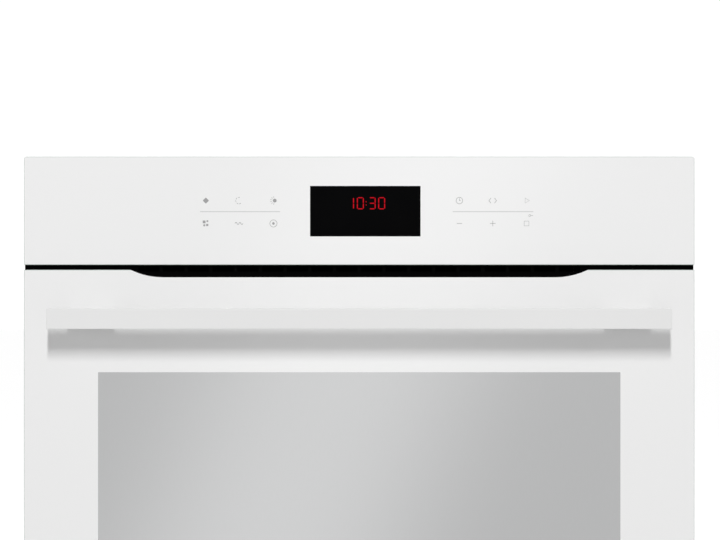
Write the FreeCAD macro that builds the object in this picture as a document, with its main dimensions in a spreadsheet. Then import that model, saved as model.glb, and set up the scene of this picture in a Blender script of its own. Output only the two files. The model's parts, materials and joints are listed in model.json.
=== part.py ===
import FreeCAD, Part

import math
import os
import re

import Sketcher

# A built-in wall oven, 595 mm wide. X is the width, +Y points to the back and +Z up.
# The origin is in the middle of the underside that rests on the cabinet's shelf.

Vector = FreeCAD.Vector
Rotation = FreeCAD.Rotation
TURNS = {
    "x": Rotation(Vector(0, 0, 1), Vector(1, 0, 0)),
    "y": Rotation(Vector(0, 0, 1), Vector(0, 1, 0)),
    "z": Rotation(),
}
RUNS_ALONG = {"x": "YZ_Plane", "y": "XZ_Plane", "z": "XY_Plane"}
SIDES = {"left": "-1", "right": "1"}
BACK_SCREWS = 5
LEVELS = 5
PASSES = 5
INTAKE_RINGS = 6
VENT_SLOTS = 18
DRUM_BLADES = 20
FAN_BLADES = 12
RELAYS = 4
SHELF_WIRES = 17
SPRING_TURNS = 20
SHEET_RISE = ("sheet_gauge", "casing_height - sheet_gauge")
DISPLAY_WINDOW = (
    ("display_offset - display_width / 2", "display_offset + display_width / 2"),
    ("display_z - display_height / 2", "display_z + display_height / 2"),
)

# ---------------------------------------------------------------- driving dimensions, mm

DIMENSIONS = {
    # the front
    "front_width": 595,
    "front_height": 595,
    "front_bottom": 8,
    "front_stand": 22,
    "glass_gauge": 4,
    "glass_edge": 0.5,
    "panel_height": 96,
    "panel_gap": 4.5,
    "corner_round": 2,
    "dip_width": 405.8,
    "dip_depth": 6.6,
    "dip_ramp": 28.8,
    # the casing
    "casing_width": 556,
    "casing_height": 590,
    "casing_depth": 545,
    "sheet_gauge": 1,
    "vent_length": 42,
    "vent_width": 4,
    "vent_pitch": 11,
    "return_width": 14,
    "back_screw_inset": 7,
    "back_screw_low": 50,
    "back_screw_rise": 490,
    "tapping_radius": 1.5,
    "tapping_length": 8,
    "pan_radius": 3.5,
    "pan_height": 2.2,
    # the front frame
    "frame_foot": 3,
    "frame_gauge": 1.2,
    "seal_depth": 20,
    "frame_drop": 4.5,
    "flange_margin": 5.5,
    "screw_hole": 2.5,
    "screw_spread": 571,
    "screw_rise": 360,
    "screw_middle": 290,
    # the cavity
    "cavity_width": 480,
    "cavity_height": 355,
    "cavity_depth": 425,
    "cavity_floor": 86,
    "cavity_round": 22,
    "blanket_gauge": 22,
    "blanket_play": 0.3,
    "floor_gap": 10,
    "flue_x": 80,
    "flue_ahead": 130,
    "flue_radius": 12,
    "flue_flange": 16,
    "seal_width": 9,
    "seal_gauge": 5.7,
    "seal_margin": 10,
    # racks, runners, tray and shelf
    "first_level": 35,
    "rack_headroom": 72,
    "rack_overhang": 12,
    "hook_inset": 20,
    "slot_pitch": 14,
    "rung_radius": 2,
    "post_radius": 2.5,
    "post_gap": 1.5,
    "rack_front": 40,
    "rack_length": 350,
    "rail_length": 350,
    "rail_height": 18,
    "rail_width": 8,
    "rail_gauge": 1.2,
    "rail_play": 0.4,
    "clip_ahead": 30,
    "clip_length": 18,
    "tray_front": 21,
    "tray_length": 352,
    "tray_depth": 40,
    "tray_gauge": 1.2,
    "tray_rim": 20,
    "tray_round": 24,
    "shelf_radius": 3,
    "shelf_clear": 1.5,
    "shelf_wire": 1.5,
    "shelf_length": 350,
    "shelf_rest": 0.7,
    "shelf_bend": 14,
    "tray_foot": 8,
    # the convection fan
    "fan_radius": 74,
    "fan_hub_reach": 40.7,
    "fan_depth": 22,
    "fan_cover_width": 300,
    "fan_cover_clear": 47.5,
    "fan_cover_depth": 36,
    "ring_radius": 94,
    "element_radius": 3.25,
    "shaft_radius": 4,
    "shaft_play": 0.5,
    "shaft_hole": 16,
    "stator_size": 64,
    "stator_gauge": 22,
    "rotor_radius": 15,
    "rotor_gap": 0.8,
    "stator_behind": 34,
    "bracket_wing": 14,
    "fan_gauge": 1.2,
    "fan_hub": 11,
    "fan_lean": 10,
    "fan_behind": 5,
    "fan_cover_round": 18,
    "intake_pitch": 10.5,
    "intake_hole": 2.9,
    "outlet_pitch": 36,
    "outlet_height": 24,
    "outlet_margin": 10,
    "nut_height": 4.8,
    "nut_radius": 8,
    "shaft_length": 118,
    "cooler_behind": 7,
    "cooler_depth": 10,
    "cooler_radius": 30,
    # the other heaters, the lamp and the probe
    "element_side": 204,
    "element_pitch": 44,
    "element_stagger": 40,
    "element_bend": 14,
    "element_front": 70,
    "element_drop": 28,
    "element_lift": 0.5,
    "element_behind": 18,
    "terminal_gap": 22,
    "ring_ahead": 14,
    "lamp_out": 44,
    "lamp_drop": 52,
    "lens_neck": 20,
    "lens_rise": 9,
    "holder_radius": 25,
    "holder_depth": 38,
    "bulb_radius": 5,
    "probe_radius": 3,
    "probe_reach": 46,
    "probe_tail": 24,
    "plug_length": 12,
    "plug_half": 6,
    # the cooling blower
    "blower_ahead": 215,
    "blower_height": 541,
    "blower_radius": 28,
    "blower_length": 200,
    "blower_play": 5,
    "intake_inset": 6,
    "intake_half": 14,
    "blower_foot": 24,
    "drum_inset": 3,
    "drum_disc": 1.5,
    "drum_blade": 7,
    "motor_clear": 3,
    "motor_length": 34,
    "motor_shaft": 26,
    "duct_height": 10,
    "plastic_gauge": 1.6,
    "strip_gauge": 2,
    "strip_margin": 0.5,
    "strip_ahead": 14.5,
    "strip_low": 3.5,
    "strip_high": 2,
    "strip_bridge": 3,
    # the door
    "core_depth": 10,
    "column_width": 22,
    "column_play": 3.8,
    "column_gauge": 1.2,
    "column_drop": 6,
    "door_core_drop": 12,
    "trim_height": 17,
    "inner_rise": 24,
    "pane_drop": 4.5,
    "pane_inset": 4,
    "pane_play": 0.3,
    "middle_stand": 13,
    "clip_x": 180,
    "clip_width": 30,
    "hinge_ahead": 10,
    "hinge_above": 9,
    "hinge_pin_radius": 3,
    "hinge_play": 0.05,
    "arm_gauge": 4,
    "arm_reach": 44,
    "arm_boss": 4.6,
    "lever_half": 3,
    "receptacle_depth": 22,
    "hinge_rod": 2,
    "rod_gap": 7.5,
    "spring_seat": 62,
    "spring_outer": 4.6,
    "spring_wire": 0.9,
    "channel_width": 13,
    "channel_gauge": 1.5,
    "channel_length": 190,
    "lever_length": 12,
    # the handle
    "handle_length": 549,
    "handle_height": 18,
    "handle_gauge": 8,
    "handle_stand": 32,
    "handle_drop": 134.4,
    "handle_post_width": 40.5,
    "handle_post_height": 15,
    "handle_post_inset": 17,
    "handle_round": 0.4,
    "handle_fit": 0.5,
    "handle_tail": 2,
    "handle_screw": 2.5,
    "handle_screw_grip": 20,
    # the control panel and electrics
    "display_width": 98,
    "display_height": 44.8,
    "display_depth": 9,
    "display_offset": 5.4,
    "display_drop": 48.4,
    "carrier_inset": 7.5,
    "carrier_margin": 5,
    "touch_side": 170,
    "touch_rise": 28,
    "chip_half": 6,
    "chip_gauge": 1.5,
    "chip_drop": 14,
    "chip_out": 25,
    "board_gauge": 1.6,
    "board_x": 130,
    "board_ahead": 190,
    "board_width": 110,
    "board_length": 120,
    "board_drop": 14,
    "board_post": 3,
    "post_inset": 8,
    "relay_width": 18,
    "relay_length": 20,
    "relay_height": 16,
    "relay_pitch": 26,
    "relay_margin": 15,
    "coil_width": 38,
    "coil_length": 40,
    "coil_height": 26,
    "coil_x": 60,
    "socket_half": 9,
    "socket_length": 10,
    "socket_height": 11,
    "socket_margin": 4,
    "loom_out": 15,
    "loom_radius": 3,
    "loom_ahead": 22,
    "loom_drop": 26,
    "loom_bend": 14,
    "terminal_inset": 62,
    "terminal_drop": 60,
    "terminal_half": 24,
    "terminal_below": 14,
    "terminal_height": 20,
    "terminal_depth": 24,
    "terminal_foot": 6,
    "tab_pitch": 14,
    "tab_width": 10,
    "tab_depth": 16,
    "tab_height": 4,
    "gland_inside": 6,
    "gland_rim": 3,
    "gland_collar": 3,
    "gland_radius": 9,
    "gland_bore": 5.5,
    "gland_length": 16,
}

# Places and sizes that follow from the driving dimensions.
PLACES = {
    "cabinet_plane": "-casing_depth / 2",
    "casing_rear": "casing_depth / 2",
    "casing_side": "casing_width / 2",
    "glass_front": "cabinet_plane - front_stand",
    "glass_back": "glass_front + glass_gauge",
    "front_side": "front_width / 2",
    "front_top": "front_bottom + front_height",
    "panel_bottom": "front_top - panel_height",
    "door_top": "panel_bottom - panel_gap",
    "hinge_y": "cabinet_plane - hinge_ahead",
    "hinge_z": "front_bottom + hinge_above",
    "seal_plane": "cabinet_plane + seal_depth",
    "frame_back": "seal_plane + frame_gauge",
    "frame_side": "casing_side - sheet_gauge",
    "back_screw_x": "frame_side - back_screw_inset",
    "recess_side": "frame_side - frame_gauge",
    "frame_top": "door_top - frame_drop",
    "flange_bottom": "hinge_z + 7",
    "flange_reach": "front_side - flange_margin",
    "cavity_side": "cavity_width / 2",
    "cavity_roof": "cavity_floor + cavity_height",
    "cavity_rear": "frame_back + cavity_depth",
    "liner_rear": "cavity_rear + sheet_gauge",
    "flue_y": "cabinet_plane + flue_ahead",
    "cavity_middle": "cavity_floor + cavity_height / 2",
    "column_outer": "recess_side - column_play",
    "column_inner": "column_outer - column_width",
    "column_middle": "(column_outer + column_inner) / 2",
    "core_back": "cabinet_plane + core_depth",
    "pane_back": "core_back + glass_gauge",
    "core_bottom": "hinge_z - column_drop",
    "core_top": "door_top - door_core_drop",
    "trim_bottom": "core_top - trim_height",
    "pane_top": "core_top - pane_drop",
    "inner_side": "column_outer - pane_inset",
    "middle_pane": "glass_back + middle_stand",
    "rail_top": "hinge_z + inner_rise - 2",
    "channel_back": "core_back - column_gauge - 7",
    "peg_y": "frame_back + receptacle_depth / 2",
    "peg_z": "hinge_z + 3",
    "handle_top": "front_top - handle_drop",
    "handle_bottom": "handle_top - handle_height",
    "handle_back": "glass_front - handle_stand",
    "handle_front": "handle_back - handle_gauge",
    "handle_end": "handle_length / 2",
    "handle_post_x": "handle_end - handle_post_inset - handle_post_width / 2",
    "handle_middle": "handle_top - handle_height / 2",
    "post_x": "cavity_side - post_gap - post_radius",
    "rung_x": "post_x - post_radius - rung_radius",
    "rack_start": "frame_back + rack_front",
    "rack_end": "rack_start + rack_length",
    "rail_outer": "rung_x - rung_radius - 0.3",
    "rail_inner": "rail_outer - rail_width",
    "rail_start": "rack_start - 5",
    "rail_end": "rail_start + rail_length",
    "level_pitch": f"(cavity_height - first_level - rack_headroom) / {LEVELS - 1}",
    "tray_level": "cavity_floor + first_level + level_pitch + slot_pitch / 2",
    "tray_rest": "tray_level + rail_height / 2 + rail_play + rail_gauge",
    "tray_start": "frame_back + tray_front",
    "tray_end": "tray_start + tray_length",
    "tray_side": "rail_outer - 1",
    "basin_side": "rail_inner - 6",
    "shelf_level": "cavity_floor + first_level + 3 * level_pitch",
    "shelf_z": "shelf_level + rung_radius + shelf_radius - shelf_rest + 0.3",
    "shelf_side": "post_x - post_radius - shelf_clear - shelf_radius",
    "shelf_start": "frame_back + tray_front + shelf_radius",
    "shelf_end": "shelf_start + shelf_length - 2 * shelf_radius",
    "fan_cover_front": "cavity_rear - fan_cover_depth",
    "fan_cover_height": "cavity_height - 2 * fan_cover_clear",
    "fan_back": "cavity_rear - fan_behind",
    "fan_front": "fan_back - fan_depth",
    "stator_front": "liner_rear + stator_behind",
    "cooler_front": "stator_front + stator_gauge + cooler_behind",
    "bracket_reach": "stator_size / 2 + bracket_wing",
    "ring_y": "cavity_rear - ring_ahead",
    "ring_foot_x": "ring_radius * 0.5",
    "ring_foot_z": "cavity_middle - ring_radius * 0.866",
    "grill_z": "cavity_roof - element_drop",
    "base_z": "cavity_floor - sheet_gauge - element_lift - element_radius",
    "element_tail": "liner_rear + element_behind",
    "blower_y": "cabinet_plane + blower_ahead",
    "duct_bottom": "frame_top + plastic_gauge",
    "duct_top": "duct_bottom + duct_height",
    "scroll_radius": "blower_radius + blower_play",
    "blower_side": "blower_length / 2",
    "duct_end": "blower_y - scroll_radius",
    "strip_back": "cabinet_plane - strip_ahead",
    "strip_bottom": "frame_top - strip_low",
    "strip_top": "panel_bottom + strip_high",
    "strip_side": "front_side - strip_margin",
    "duct_side": "dip_width / 2",
    "strip_pitch": f"(2 * duct_side - 10) / {VENT_SLOTS}",
    "lamp_x": "-(fan_cover_width / 2 + lamp_out)",
    "lamp_z": "cavity_roof - lamp_drop",
    "probe_x": "fan_cover_width / 2 + lamp_out",
    "display_z": "front_top - display_drop",
    "arm_side": "arm_gauge / 2",
    "channel_side": "channel_width / 2",
    "rod_foot": "hinge_z + lever_length + rod_gap",
    "rod_head": "hinge_z + channel_length - 28",
    "spring_foot": "hinge_z + spring_seat",
    "tray_floor": "tray_rest + tray_gauge - tray_depth",
    "carrier_side": "front_side - carrier_inset",
    "carrier_bottom": "panel_bottom + carrier_margin",
    "carrier_top": "front_top - carrier_margin",
    "board_y": "cabinet_plane + board_ahead",
    "board_z": "casing_height - sheet_gauge - board_drop",
    "loom_x": "board_x + board_width - loom_out",
    "socket_rear": "board_y + board_length - socket_margin",
    "terminal_x": "casing_side - terminal_inset",
    "terminal_z": "casing_height - terminal_drop",
    "terminal_top": "terminal_z - terminal_below",
    "terminal_rear": "casing_rear - sheet_gauge - terminal_foot",
    "terminal_y": "terminal_rear - terminal_depth / 2",
}

doc = FreeCAD.newDocument("WallOven")
dims = doc.addObject("Spreadsheet::Sheet", "dims")
places = doc.addObject("App::VarSet", "places")
parts = {}


def linked(formula):
    """A formula whose plain names are links to the sheet and to the places."""

    def link(match):
        name = match.group(0)
        if name in DIMENSIONS:
            return "dims." + name
        return "places." + name if name in PLACES else name

    return re.sub(r"[a-z][a-z_]+", link, str(formula))


def fill_the_sheet():
    for row, (name, size) in enumerate(DIMENSIONS.items(), 1):
        dims.set(f"A{row}", name.replace("_", " "))
        dims.set(f"B{row}", str(size))
        dims.setAlias(f"B{row}", name)
    doc.recompute()
    for name, formula in PLACES.items():
        places.addProperty("App::PropertyFloat", name, "Places")
        places.setExpression(name, linked(formula))
    doc.recompute()


def size(formula):
    """The number that a formula of dimensions and places has now."""
    return float(dims.evalExpression(linked(formula)))


def spot(x, y, z):
    return Vector(size(x), size(y), size(z))


def bind(item, **formulas):
    for name, formula in formulas.items():
        item.setExpression(name, linked(formula))
    return item


def put(item, x=None, y=None, z=None):
    for axis, formula in (("x", x), ("y", y), ("z", z)):
        if formula is not None:
            item.setExpression(f"Placement.Base.{axis}", linked(formula))
    return item


def keep(name, item):
    """Names an object as one of the oven's pieces."""
    item.Label = name
    parts[name] = item
    return item


# ---------------------------------------------------------------- primitives and booleans


def box(x, y, z, name="block"):
    """A box between low and high formulas on each axis."""
    item = doc.addObject("Part::Box", name)
    bind(
        item,
        Length=f"({x[1]}) - ({x[0]})",
        Width=f"({y[1]}) - ({y[0]})",
        Height=f"({z[1]}) - ({z[0]})",
    )
    return put(item, x[0], y[0], z[0])


def rod(axis, radius, length, x, y, z, name="rod"):
    """A cylinder that runs from a point along an axis."""
    item = doc.addObject("Part::Cylinder", name)
    item.Placement = FreeCAD.Placement(Vector(), TURNS[axis])
    bind(item, Radius=radius, Height=length)
    return put(item, x, y, z)


def fused(*items, name="fusion"):
    item = doc.addObject("Part::MultiFuse", name)
    item.Shapes = list(items)
    item.Refine = True
    return item


def together(*items, name="group"):
    item = doc.addObject("Part::Compound", name)
    item.Links = list(items)
    return item


def cut(base, *tools, name="cut"):
    item = doc.addObject("Part::Cut", name)
    item.Base = base
    item.Tool = tools[0] if len(tools) == 1 else together(*tools, name="cutters")
    item.Refine = True
    return item


def mirrored(source, name="other_side"):
    """The same piece on the other side of the middle plane."""
    item = doc.addObject("Part::Mirroring", name)
    item.Source = source
    item.Normal = Vector(1, 0, 0)
    return item


def both_sides(source, name="pair"):
    return together(source, mirrored(source), name=name)


def shaped(name, shape):
    """A piece whose shape is made here, because no feature of the document fits it."""
    item = doc.addObject("Part::Feature", name)
    item.Shape = shape
    item.Placement = FreeCAD.Placement()
    return item


# ---------------------------------------------------------------- bodies and sketches


def body(name):
    return doc.addObject("PartDesign::Body", name)


def sketch(owner, axis, offset="0"):
    """A sketch square to an axis, at a place along it.
    Square to x it reads (y, z), to y it reads (x, z), and to z it reads (x, y)."""
    item = owner.newObject("Sketcher::SketchObject", owner.Name + "_sketch")
    plane = next(f for f in owner.Origin.OriginFeatures if f.Role == RUNS_ALONG[axis])
    item.AttachmentSupport = [(plane, "")]
    item.MapMode = "FlatFace"
    sign = "-" if axis == "y" else ""
    item.setExpression("AttachmentOffset.Base.z", linked(f"{sign}({offset})"))
    return item


def pin_point(item, geometry, point, x, y):
    for kind, formula in (("DistanceX", x), ("DistanceY", y)):
        if formula is None:
            continue
        index = item.addConstraint(Sketcher.Constraint(kind, -1, 1, geometry, point, size(formula)))
        item.setExpression(f"Constraints[{index}]", linked(formula))


def outline(item, points, bends=None):
    """A closed outline with its corners at formulas. Its lines are straight, except
    those in bends, which are arcs: {line: x of its centre, True if it turns left}."""
    first, count = item.GeometryCount, len(points)
    corners = [Vector(size(x), size(y), 0) for x, y in points]
    bends = bends or {}
    ends = []
    for n in range(count):
        start, end = corners[n], corners[(n + 1) % count]
        if n in bends:
            centre_x, turns_left = bends[n]
            item.addGeometry(arc_between(start, end, size(centre_x), turns_left), False)
        else:
            item.addGeometry(Part.LineSegment(start, end), False)
        ends.append((2, 1) if n in bends and not bends[n][1] else (1, 2))
    for n in range(count):
        following = (n + 1) % count
        item.addConstraint(
            Sketcher.Constraint("Coincident", first + n, ends[n][1], first + following, ends[following][0])
        )
    for n, (x, y) in enumerate(points):
        pin_point(item, first + n, ends[n][0], x, y)
    for n, (centre_x, _) in bends.items():
        pin_point(item, first + n, 3, centre_x, None)


def arc_between(start, end, centre_x, turns_left):
    """An arc whose centre lies at a given x, on the line that halves start and end."""
    middle, run = (start + end) / 2, end - start
    centre = Vector(centre_x, middle.y - (centre_x - middle.x) * run.x / run.y, 0)
    low, high = (start, end) if turns_left else (end, start)
    around = Part.Circle(centre, Vector(0, 0, 1), (start - centre).Length)
    return Part.ArcOfCircle(around, *(math.atan2(p.y - centre.y, p.x - centre.x) for p in (low, high)))


def rectangle(item, x, y):
    outline(item, [(x[0], y[0]), (x[1], y[0]), (x[1], y[1]), (x[0], y[1])])


def circle(item, x, y, radius):
    centre = Vector(size(x), size(y), 0)
    index = item.addGeometry(Part.Circle(centre, Vector(0, 0, 1), size(radius)), False)
    limit = item.addConstraint(Sketcher.Constraint("Radius", index, size(radius)))
    item.setExpression(f"Constraints[{limit}]", linked(radius))
    pin_point(item, index, 3, x, y)


def pad(owner, profile, length):
    """Pads a sketch towards +X, +Y or +Z, whichever it is square to."""
    item = owner.newObject("PartDesign::Pad", owner.Name + "_pad")
    item.Profile = profile
    item.Reversed = profile.AttachmentSupport[0][0].Role == "XZ_Plane"
    bind(item, Length=length)
    doc.recompute()
    return item


def pocket(owner, profile, length):
    """Cuts a sketch out towards +X, +Y or +Z, and fails if nothing was cut."""
    before = owner.Shape.Volume
    item = owner.newObject("PartDesign::Pocket", owner.Name + "_pocket")
    item.Profile = profile
    item.Reversed = profile.AttachmentSupport[0][0].Role != "XZ_Plane"
    bind(item, Length=length)
    doc.recompute()
    if owner.Shape.Volume > before - 1e-3:
        raise RuntimeError(f"{item.Name} of {owner.Label} cuts nothing")
    return item


def edges_where(owner, test):
    """The names of a body's edges whose middle point and direction pass a test."""
    found = []
    for n, edge in enumerate(owner.Shape.Edges, 1):
        if edge.Degenerated or edge.Curve.TypeId != "Part::GeomLine":
            continue
        ends = [v.Point for v in edge.Vertexes]
        run = (ends[-1] - ends[0]).normalize()
        if test(edge.CenterOfMass, run):
            found.append(f"Edge{n}")
    return found


def dress(owner, kind, names, **formulas):
    base = owner.Tip
    item = owner.newObject("PartDesign::" + kind, owner.Name + "_" + kind.lower())
    item.Base = (base, names)
    bind(item, **formulas)
    doc.recompute()
    return item


def fillet(owner, radius, test):
    return dress(owner, "Fillet", edges_where(owner, test), Radius=radius)


def chamfer(owner, width, test):
    return dress(owner, "Chamfer", edges_where(owner, test), Size=width)


def along(axis):
    return lambda middle, run: abs(getattr(run, axis)) > 0.999


def polar(owner, feature, count, axis):
    item = owner.newObject("PartDesign::PolarPattern", owner.Name + "_polar")
    item.Originals = [feature]
    line = next(f for f in owner.Origin.OriginFeatures if f.Role == axis)
    item.Axis = (line, [""])
    item.Angle = 360
    item.Occurrences = count
    owner.Tip = item
    doc.recompute()
    return item


def linear(owner, feature, count, length, axis):
    """Repeats a feature evenly over a length along an origin axis."""
    item = owner.newObject("PartDesign::LinearPattern", owner.Name + "_row")
    item.Originals = [feature]
    line = next(f for f in owner.Origin.OriginFeatures if f.Role == axis)
    item.Direction = (line, [""])
    bind(item, Length=length)
    item.Occurrences = count
    owner.Tip = item
    doc.recompute()
    return item


# ---------------------------------------------------------------- bent tubes


def tube(points, radius, bend):
    """A round bar through points, with an arc of one radius at each corner."""
    edges, start = [], points[0]
    for before, corner, after in zip(points, points[1:], points[2:]):
        towards, away = (before - corner).normalize(), (after - corner).normalize()
        half = math.acos(max(-1.0, min(1.0, towards.dot(away)))) / 2
        leg = bend / math.tan(half)
        middle_ray = (towards + away).normalize()
        centre = corner + middle_ray * (bend / math.sin(half))
        enter, leave = corner + towards * leg, corner + away * leg
        if (enter - start).Length > 1e-6:
            edges.append(Part.LineSegment(start, enter).toShape())
        edges.append(Part.Arc(enter, centre - middle_ray * bend, leave).toShape())
        start = leave
    if (points[-1] - start).Length > 1e-6:
        edges.append(Part.LineSegment(start, points[-1]).toShape())
    path = Part.Wire(edges)
    aim = (points[1] - points[0]).normalize()
    section = Part.Wire(Part.makeCircle(radius, points[0], aim))
    shell = Part.BRepOffsetAPI.MakePipeShell(path)
    shell.setTransitionMode(2)
    shell.add(section)
    shell.build()
    shell.makeSolid()
    return shell.shape()


def vectors(*triples):
    return [Vector(*triple) for triple in triples]


# ---------------------------------------------------------------- the casing


def casing_base():
    """A flat floor with a lip behind the front frame."""
    floor = box(("-casing_side", "casing_side"), ("frame_back", "casing_rear"), ("0", "sheet_gauge"))
    lip = box(
        ("-frame_side", "frame_side"),
        ("frame_back", "frame_back + sheet_gauge"),
        ("sheet_gauge", "frame_foot + 4"),
    )
    keep("casing_base", fused(floor, lip, name="casing_base"))


def casing_sides():
    """Vented side sheets with a return flange that the back sheet is screwed to."""
    for side, sign in SIDES.items():
        item = body(f"casing_{side}")
        inner, outer = f"{sign} * frame_side", f"{sign} * casing_side"
        low, high = (outer, inner) if side == "left" else (inner, outer)
        wall = sketch(item, "x", low)
        rectangle(wall, ("cabinet_plane", "casing_rear"), SHEET_RISE)
        pad(item, wall, f"{high} - ({low})")
        flange = sketch(item, "y", "casing_rear - 2 * sheet_gauge")
        rectangle(flange, (f"{sign} * (frame_side - return_width)", inner), SHEET_RISE)
        pad(item, flange, "sheet_gauge")
        screw_row(item, sign, "casing_rear - 2 * sheet_gauge")
        slot = sketch(item, "x", low)
        rear = "casing_rear - 40"
        rectangle(slot, (f"{rear} - vent_length", rear), ("360", "360 + vent_width"))
        linear(item, pocket(item, slot, "sheet_gauge"), 9, "vent_pitch * 8", "Z_Axis")
        keep(f"casing_{side}", item)


def screw_row(item, sign, plane):
    """Holes for the sheet-metal screws along one rear edge."""
    hole = sketch(item, "y", plane)
    circle(hole, f"{sign} * back_screw_x", "back_screw_low", "tapping_radius")
    linear(item, pocket(item, hole, "sheet_gauge"), BACK_SCREWS, "back_screw_rise", "Z_Axis")


def casing_back():
    item = body("casing_back")
    plane = "casing_rear - sheet_gauge"
    sheet = sketch(item, "y", plane)
    rectangle(sheet, ("-frame_side", "frame_side"), SHEET_RISE)
    pad(item, sheet, "sheet_gauge")
    for sign in SIDES.values():
        screw_row(item, sign, plane)
    inlet = sketch(item, "y", plane)
    circle(inlet, "terminal_x", "terminal_z", "gland_radius")
    pocket(item, inlet, "sheet_gauge")
    slots = sketch(item, "y", plane)
    low = "cavity_middle - 6 * vent_pitch"
    for sign in SIDES.values():
        middle = f"{sign} * (vent_length + 13)"
        across = (f"{middle} - vent_length", f"{middle} + vent_length")
        rectangle(slots, across, (low, f"{low} + vent_width"))
    linear(item, pocket(item, slots, "sheet_gauge"), 13, "vent_pitch * 12", "Z_Axis")
    keep("casing_back", item)


def casing_top():
    item = body("casing_top")
    plane = "casing_height - sheet_gauge"
    sheet = sketch(item, "z", plane)
    rectangle(sheet, ("-casing_side", "casing_side"), ("cabinet_plane", "casing_rear"))
    pad(item, sheet, "sheet_gauge")
    slot = sketch(item, "z", plane)
    left = "-11.5 * vent_pitch"
    rectangle(
        slot,
        (f"{left} - vent_width / 2", f"{left} + vent_width / 2"),
        ("blower_y - vent_length", "blower_y + vent_length"),
    )
    linear(item, pocket(item, slot, "sheet_gauge"), 24, "vent_pitch * 23", "X_Axis")
    keep("casing_top", item)


def sheet_metal_screws():
    """Pan-head screws through the back sheet and the return flanges."""
    screws = []
    for sign in SIDES.values():
        for n in range(BACK_SCREWS):
            z = f"back_screw_low + {n} * back_screw_rise / {BACK_SCREWS - 1}"
            x = f"{sign} * back_screw_x"
            head = rod("y", "pan_radius", "pan_height", x, "casing_rear", z)
            shank = rod("y", "tapping_radius", "tapping_length", x, "casing_rear - tapping_length", z)
            screws.append(fused(head, shank))
    keep("sheet_metal_screws", together(*screws, name="sheet_metal_screws"))


# ---------------------------------------------------------------- the front frame and cavity


def front_frame():
    """The plate round the cavity mouth, in a recess whose flanges lie on the cabinet."""
    item = body("front_frame")
    plate = sketch(item, "y", "seal_plane")
    rectangle(plate, ("-frame_side", "frame_side"), ("frame_foot", "frame_top"))
    pad(item, plate, "frame_gauge")
    rise = ("flange_bottom", "casing_height - sheet_gauge")
    walls = sketch(item, "y", "cabinet_plane")
    flanges = sketch(item, "y", "cabinet_plane - frame_gauge")
    for sign in SIDES.values():
        rectangle(walls, (f"{sign} * recess_side", f"{sign} * frame_side"), rise)
        rectangle(flanges, (f"{sign} * recess_side", f"{sign} * flange_reach"), rise)
    pad(item, walls, "seal_depth")
    pad(item, flanges, "frame_gauge")
    roof = sketch(item, "y", "cabinet_plane")
    rectangle(roof, ("-recess_side", "recess_side"), ("frame_top - frame_gauge", "frame_top"))
    pad(item, roof, "seal_depth")

    mouth = sketch(item, "y", "seal_plane")
    rectangle(mouth, ("-cavity_side", "cavity_side"), ("cavity_floor", "cavity_roof"))
    pocket(item, mouth, "frame_gauge")
    slots = sketch(item, "y", "seal_plane")
    for sign in SIDES.values():
        middle = f"{sign} * column_middle"
        rectangle(
            slots,
            (f"{middle} - arm_gauge", f"{middle} + arm_gauge"),
            ("hinge_z - arm_boss - 3", "hinge_z + arm_boss + 3"),
        )
    pocket(item, slots, "frame_gauge")
    holes = sketch(item, "y", "cabinet_plane - frame_gauge")
    for sign in SIDES.values():
        for half in SIDES.values():
            circle(
                holes,
                f"{sign} * screw_spread / 2",
                f"screw_middle + {half} * screw_rise / 2",
                "screw_hole",
            )
    pocket(item, holes, "frame_gauge")
    rim = size("cavity_side")
    fillet(item, "cavity_round", lambda middle, run: abs(run.y) > 0.999 and abs(abs(middle.x) - rim) < 0.01)
    keep("front_frame", item)


def cavity_liner():
    """The enamelled muffle: one pressed box, open to the front."""
    item = body("cavity_liner")
    face = sketch(item, "y", "frame_back")
    rectangle(
        face,
        ("-cavity_side - sheet_gauge", "cavity_side + sheet_gauge"),
        ("cavity_floor - sheet_gauge", "cavity_roof + sheet_gauge"),
    )
    pad(item, face, "cavity_depth + sheet_gauge")
    hollow = sketch(item, "y", "frame_back")
    rectangle(hollow, ("-cavity_side", "cavity_side"), ("cavity_floor", "cavity_roof"))
    pocket(item, hollow, "cavity_depth")
    for grow in ("0", "sheet_gauge"):
        side, rear = size(f"cavity_side + {grow}"), size(f"cavity_rear + {grow}")

        def bent_edge(middle, run):
            if abs(run.y) > 0.999:
                return abs(abs(middle.x) - side) < 0.01
            return abs(middle.y - rear) < 0.01

        fillet(item, f"cavity_round + {grow}", bent_edge)

    holes = sketch(item, "y", "cavity_rear")
    circle(holes, "0", "cavity_middle", "shaft_hole")
    circle(holes, "lamp_x", "lamp_z", "lens_neck + 0.3")
    circle(holes, "probe_x", "lamp_z", "probe_radius")
    for sign in SIDES.values():
        circle(holes, f"{sign} * ring_foot_x", "ring_foot_z", "element_radius + 1.5")
        circle(holes, f"{sign} * terminal_gap", "grill_z", "element_radius + 1.5")
    pocket(item, holes, "sheet_gauge")
    flue = sketch(item, "z", "cavity_roof")
    circle(flue, "flue_x", "flue_y", "flue_radius + 0.2")
    pocket(item, flue, "sheet_gauge")
    keep("cavity_liner", item)


def door_gasket():
    item = body("door_gasket")
    face = sketch(item, "y", "seal_plane - seal_gauge")
    for grow in ("seal_margin", "(seal_margin + seal_width)"):
        rectangle(
            face,
            (f"-cavity_side - {grow}", f"cavity_side + {grow}"),
            (f"cavity_floor - {grow}", f"cavity_roof + {grow}"),
        )
    pad(item, face, "seal_gauge")
    inner = size("cavity_side + seal_margin + seal_width / 2")
    fillet(item, "cavity_round", lambda middle, run: abs(run.y) > 0.999 and abs(middle.x) < inner)
    fillet(
        item,
        "cavity_round + seal_width",
        lambda middle, run: abs(run.y) > 0.999 and abs(middle.x) > inner,
    )
    keep("door_gasket", item)


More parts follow.
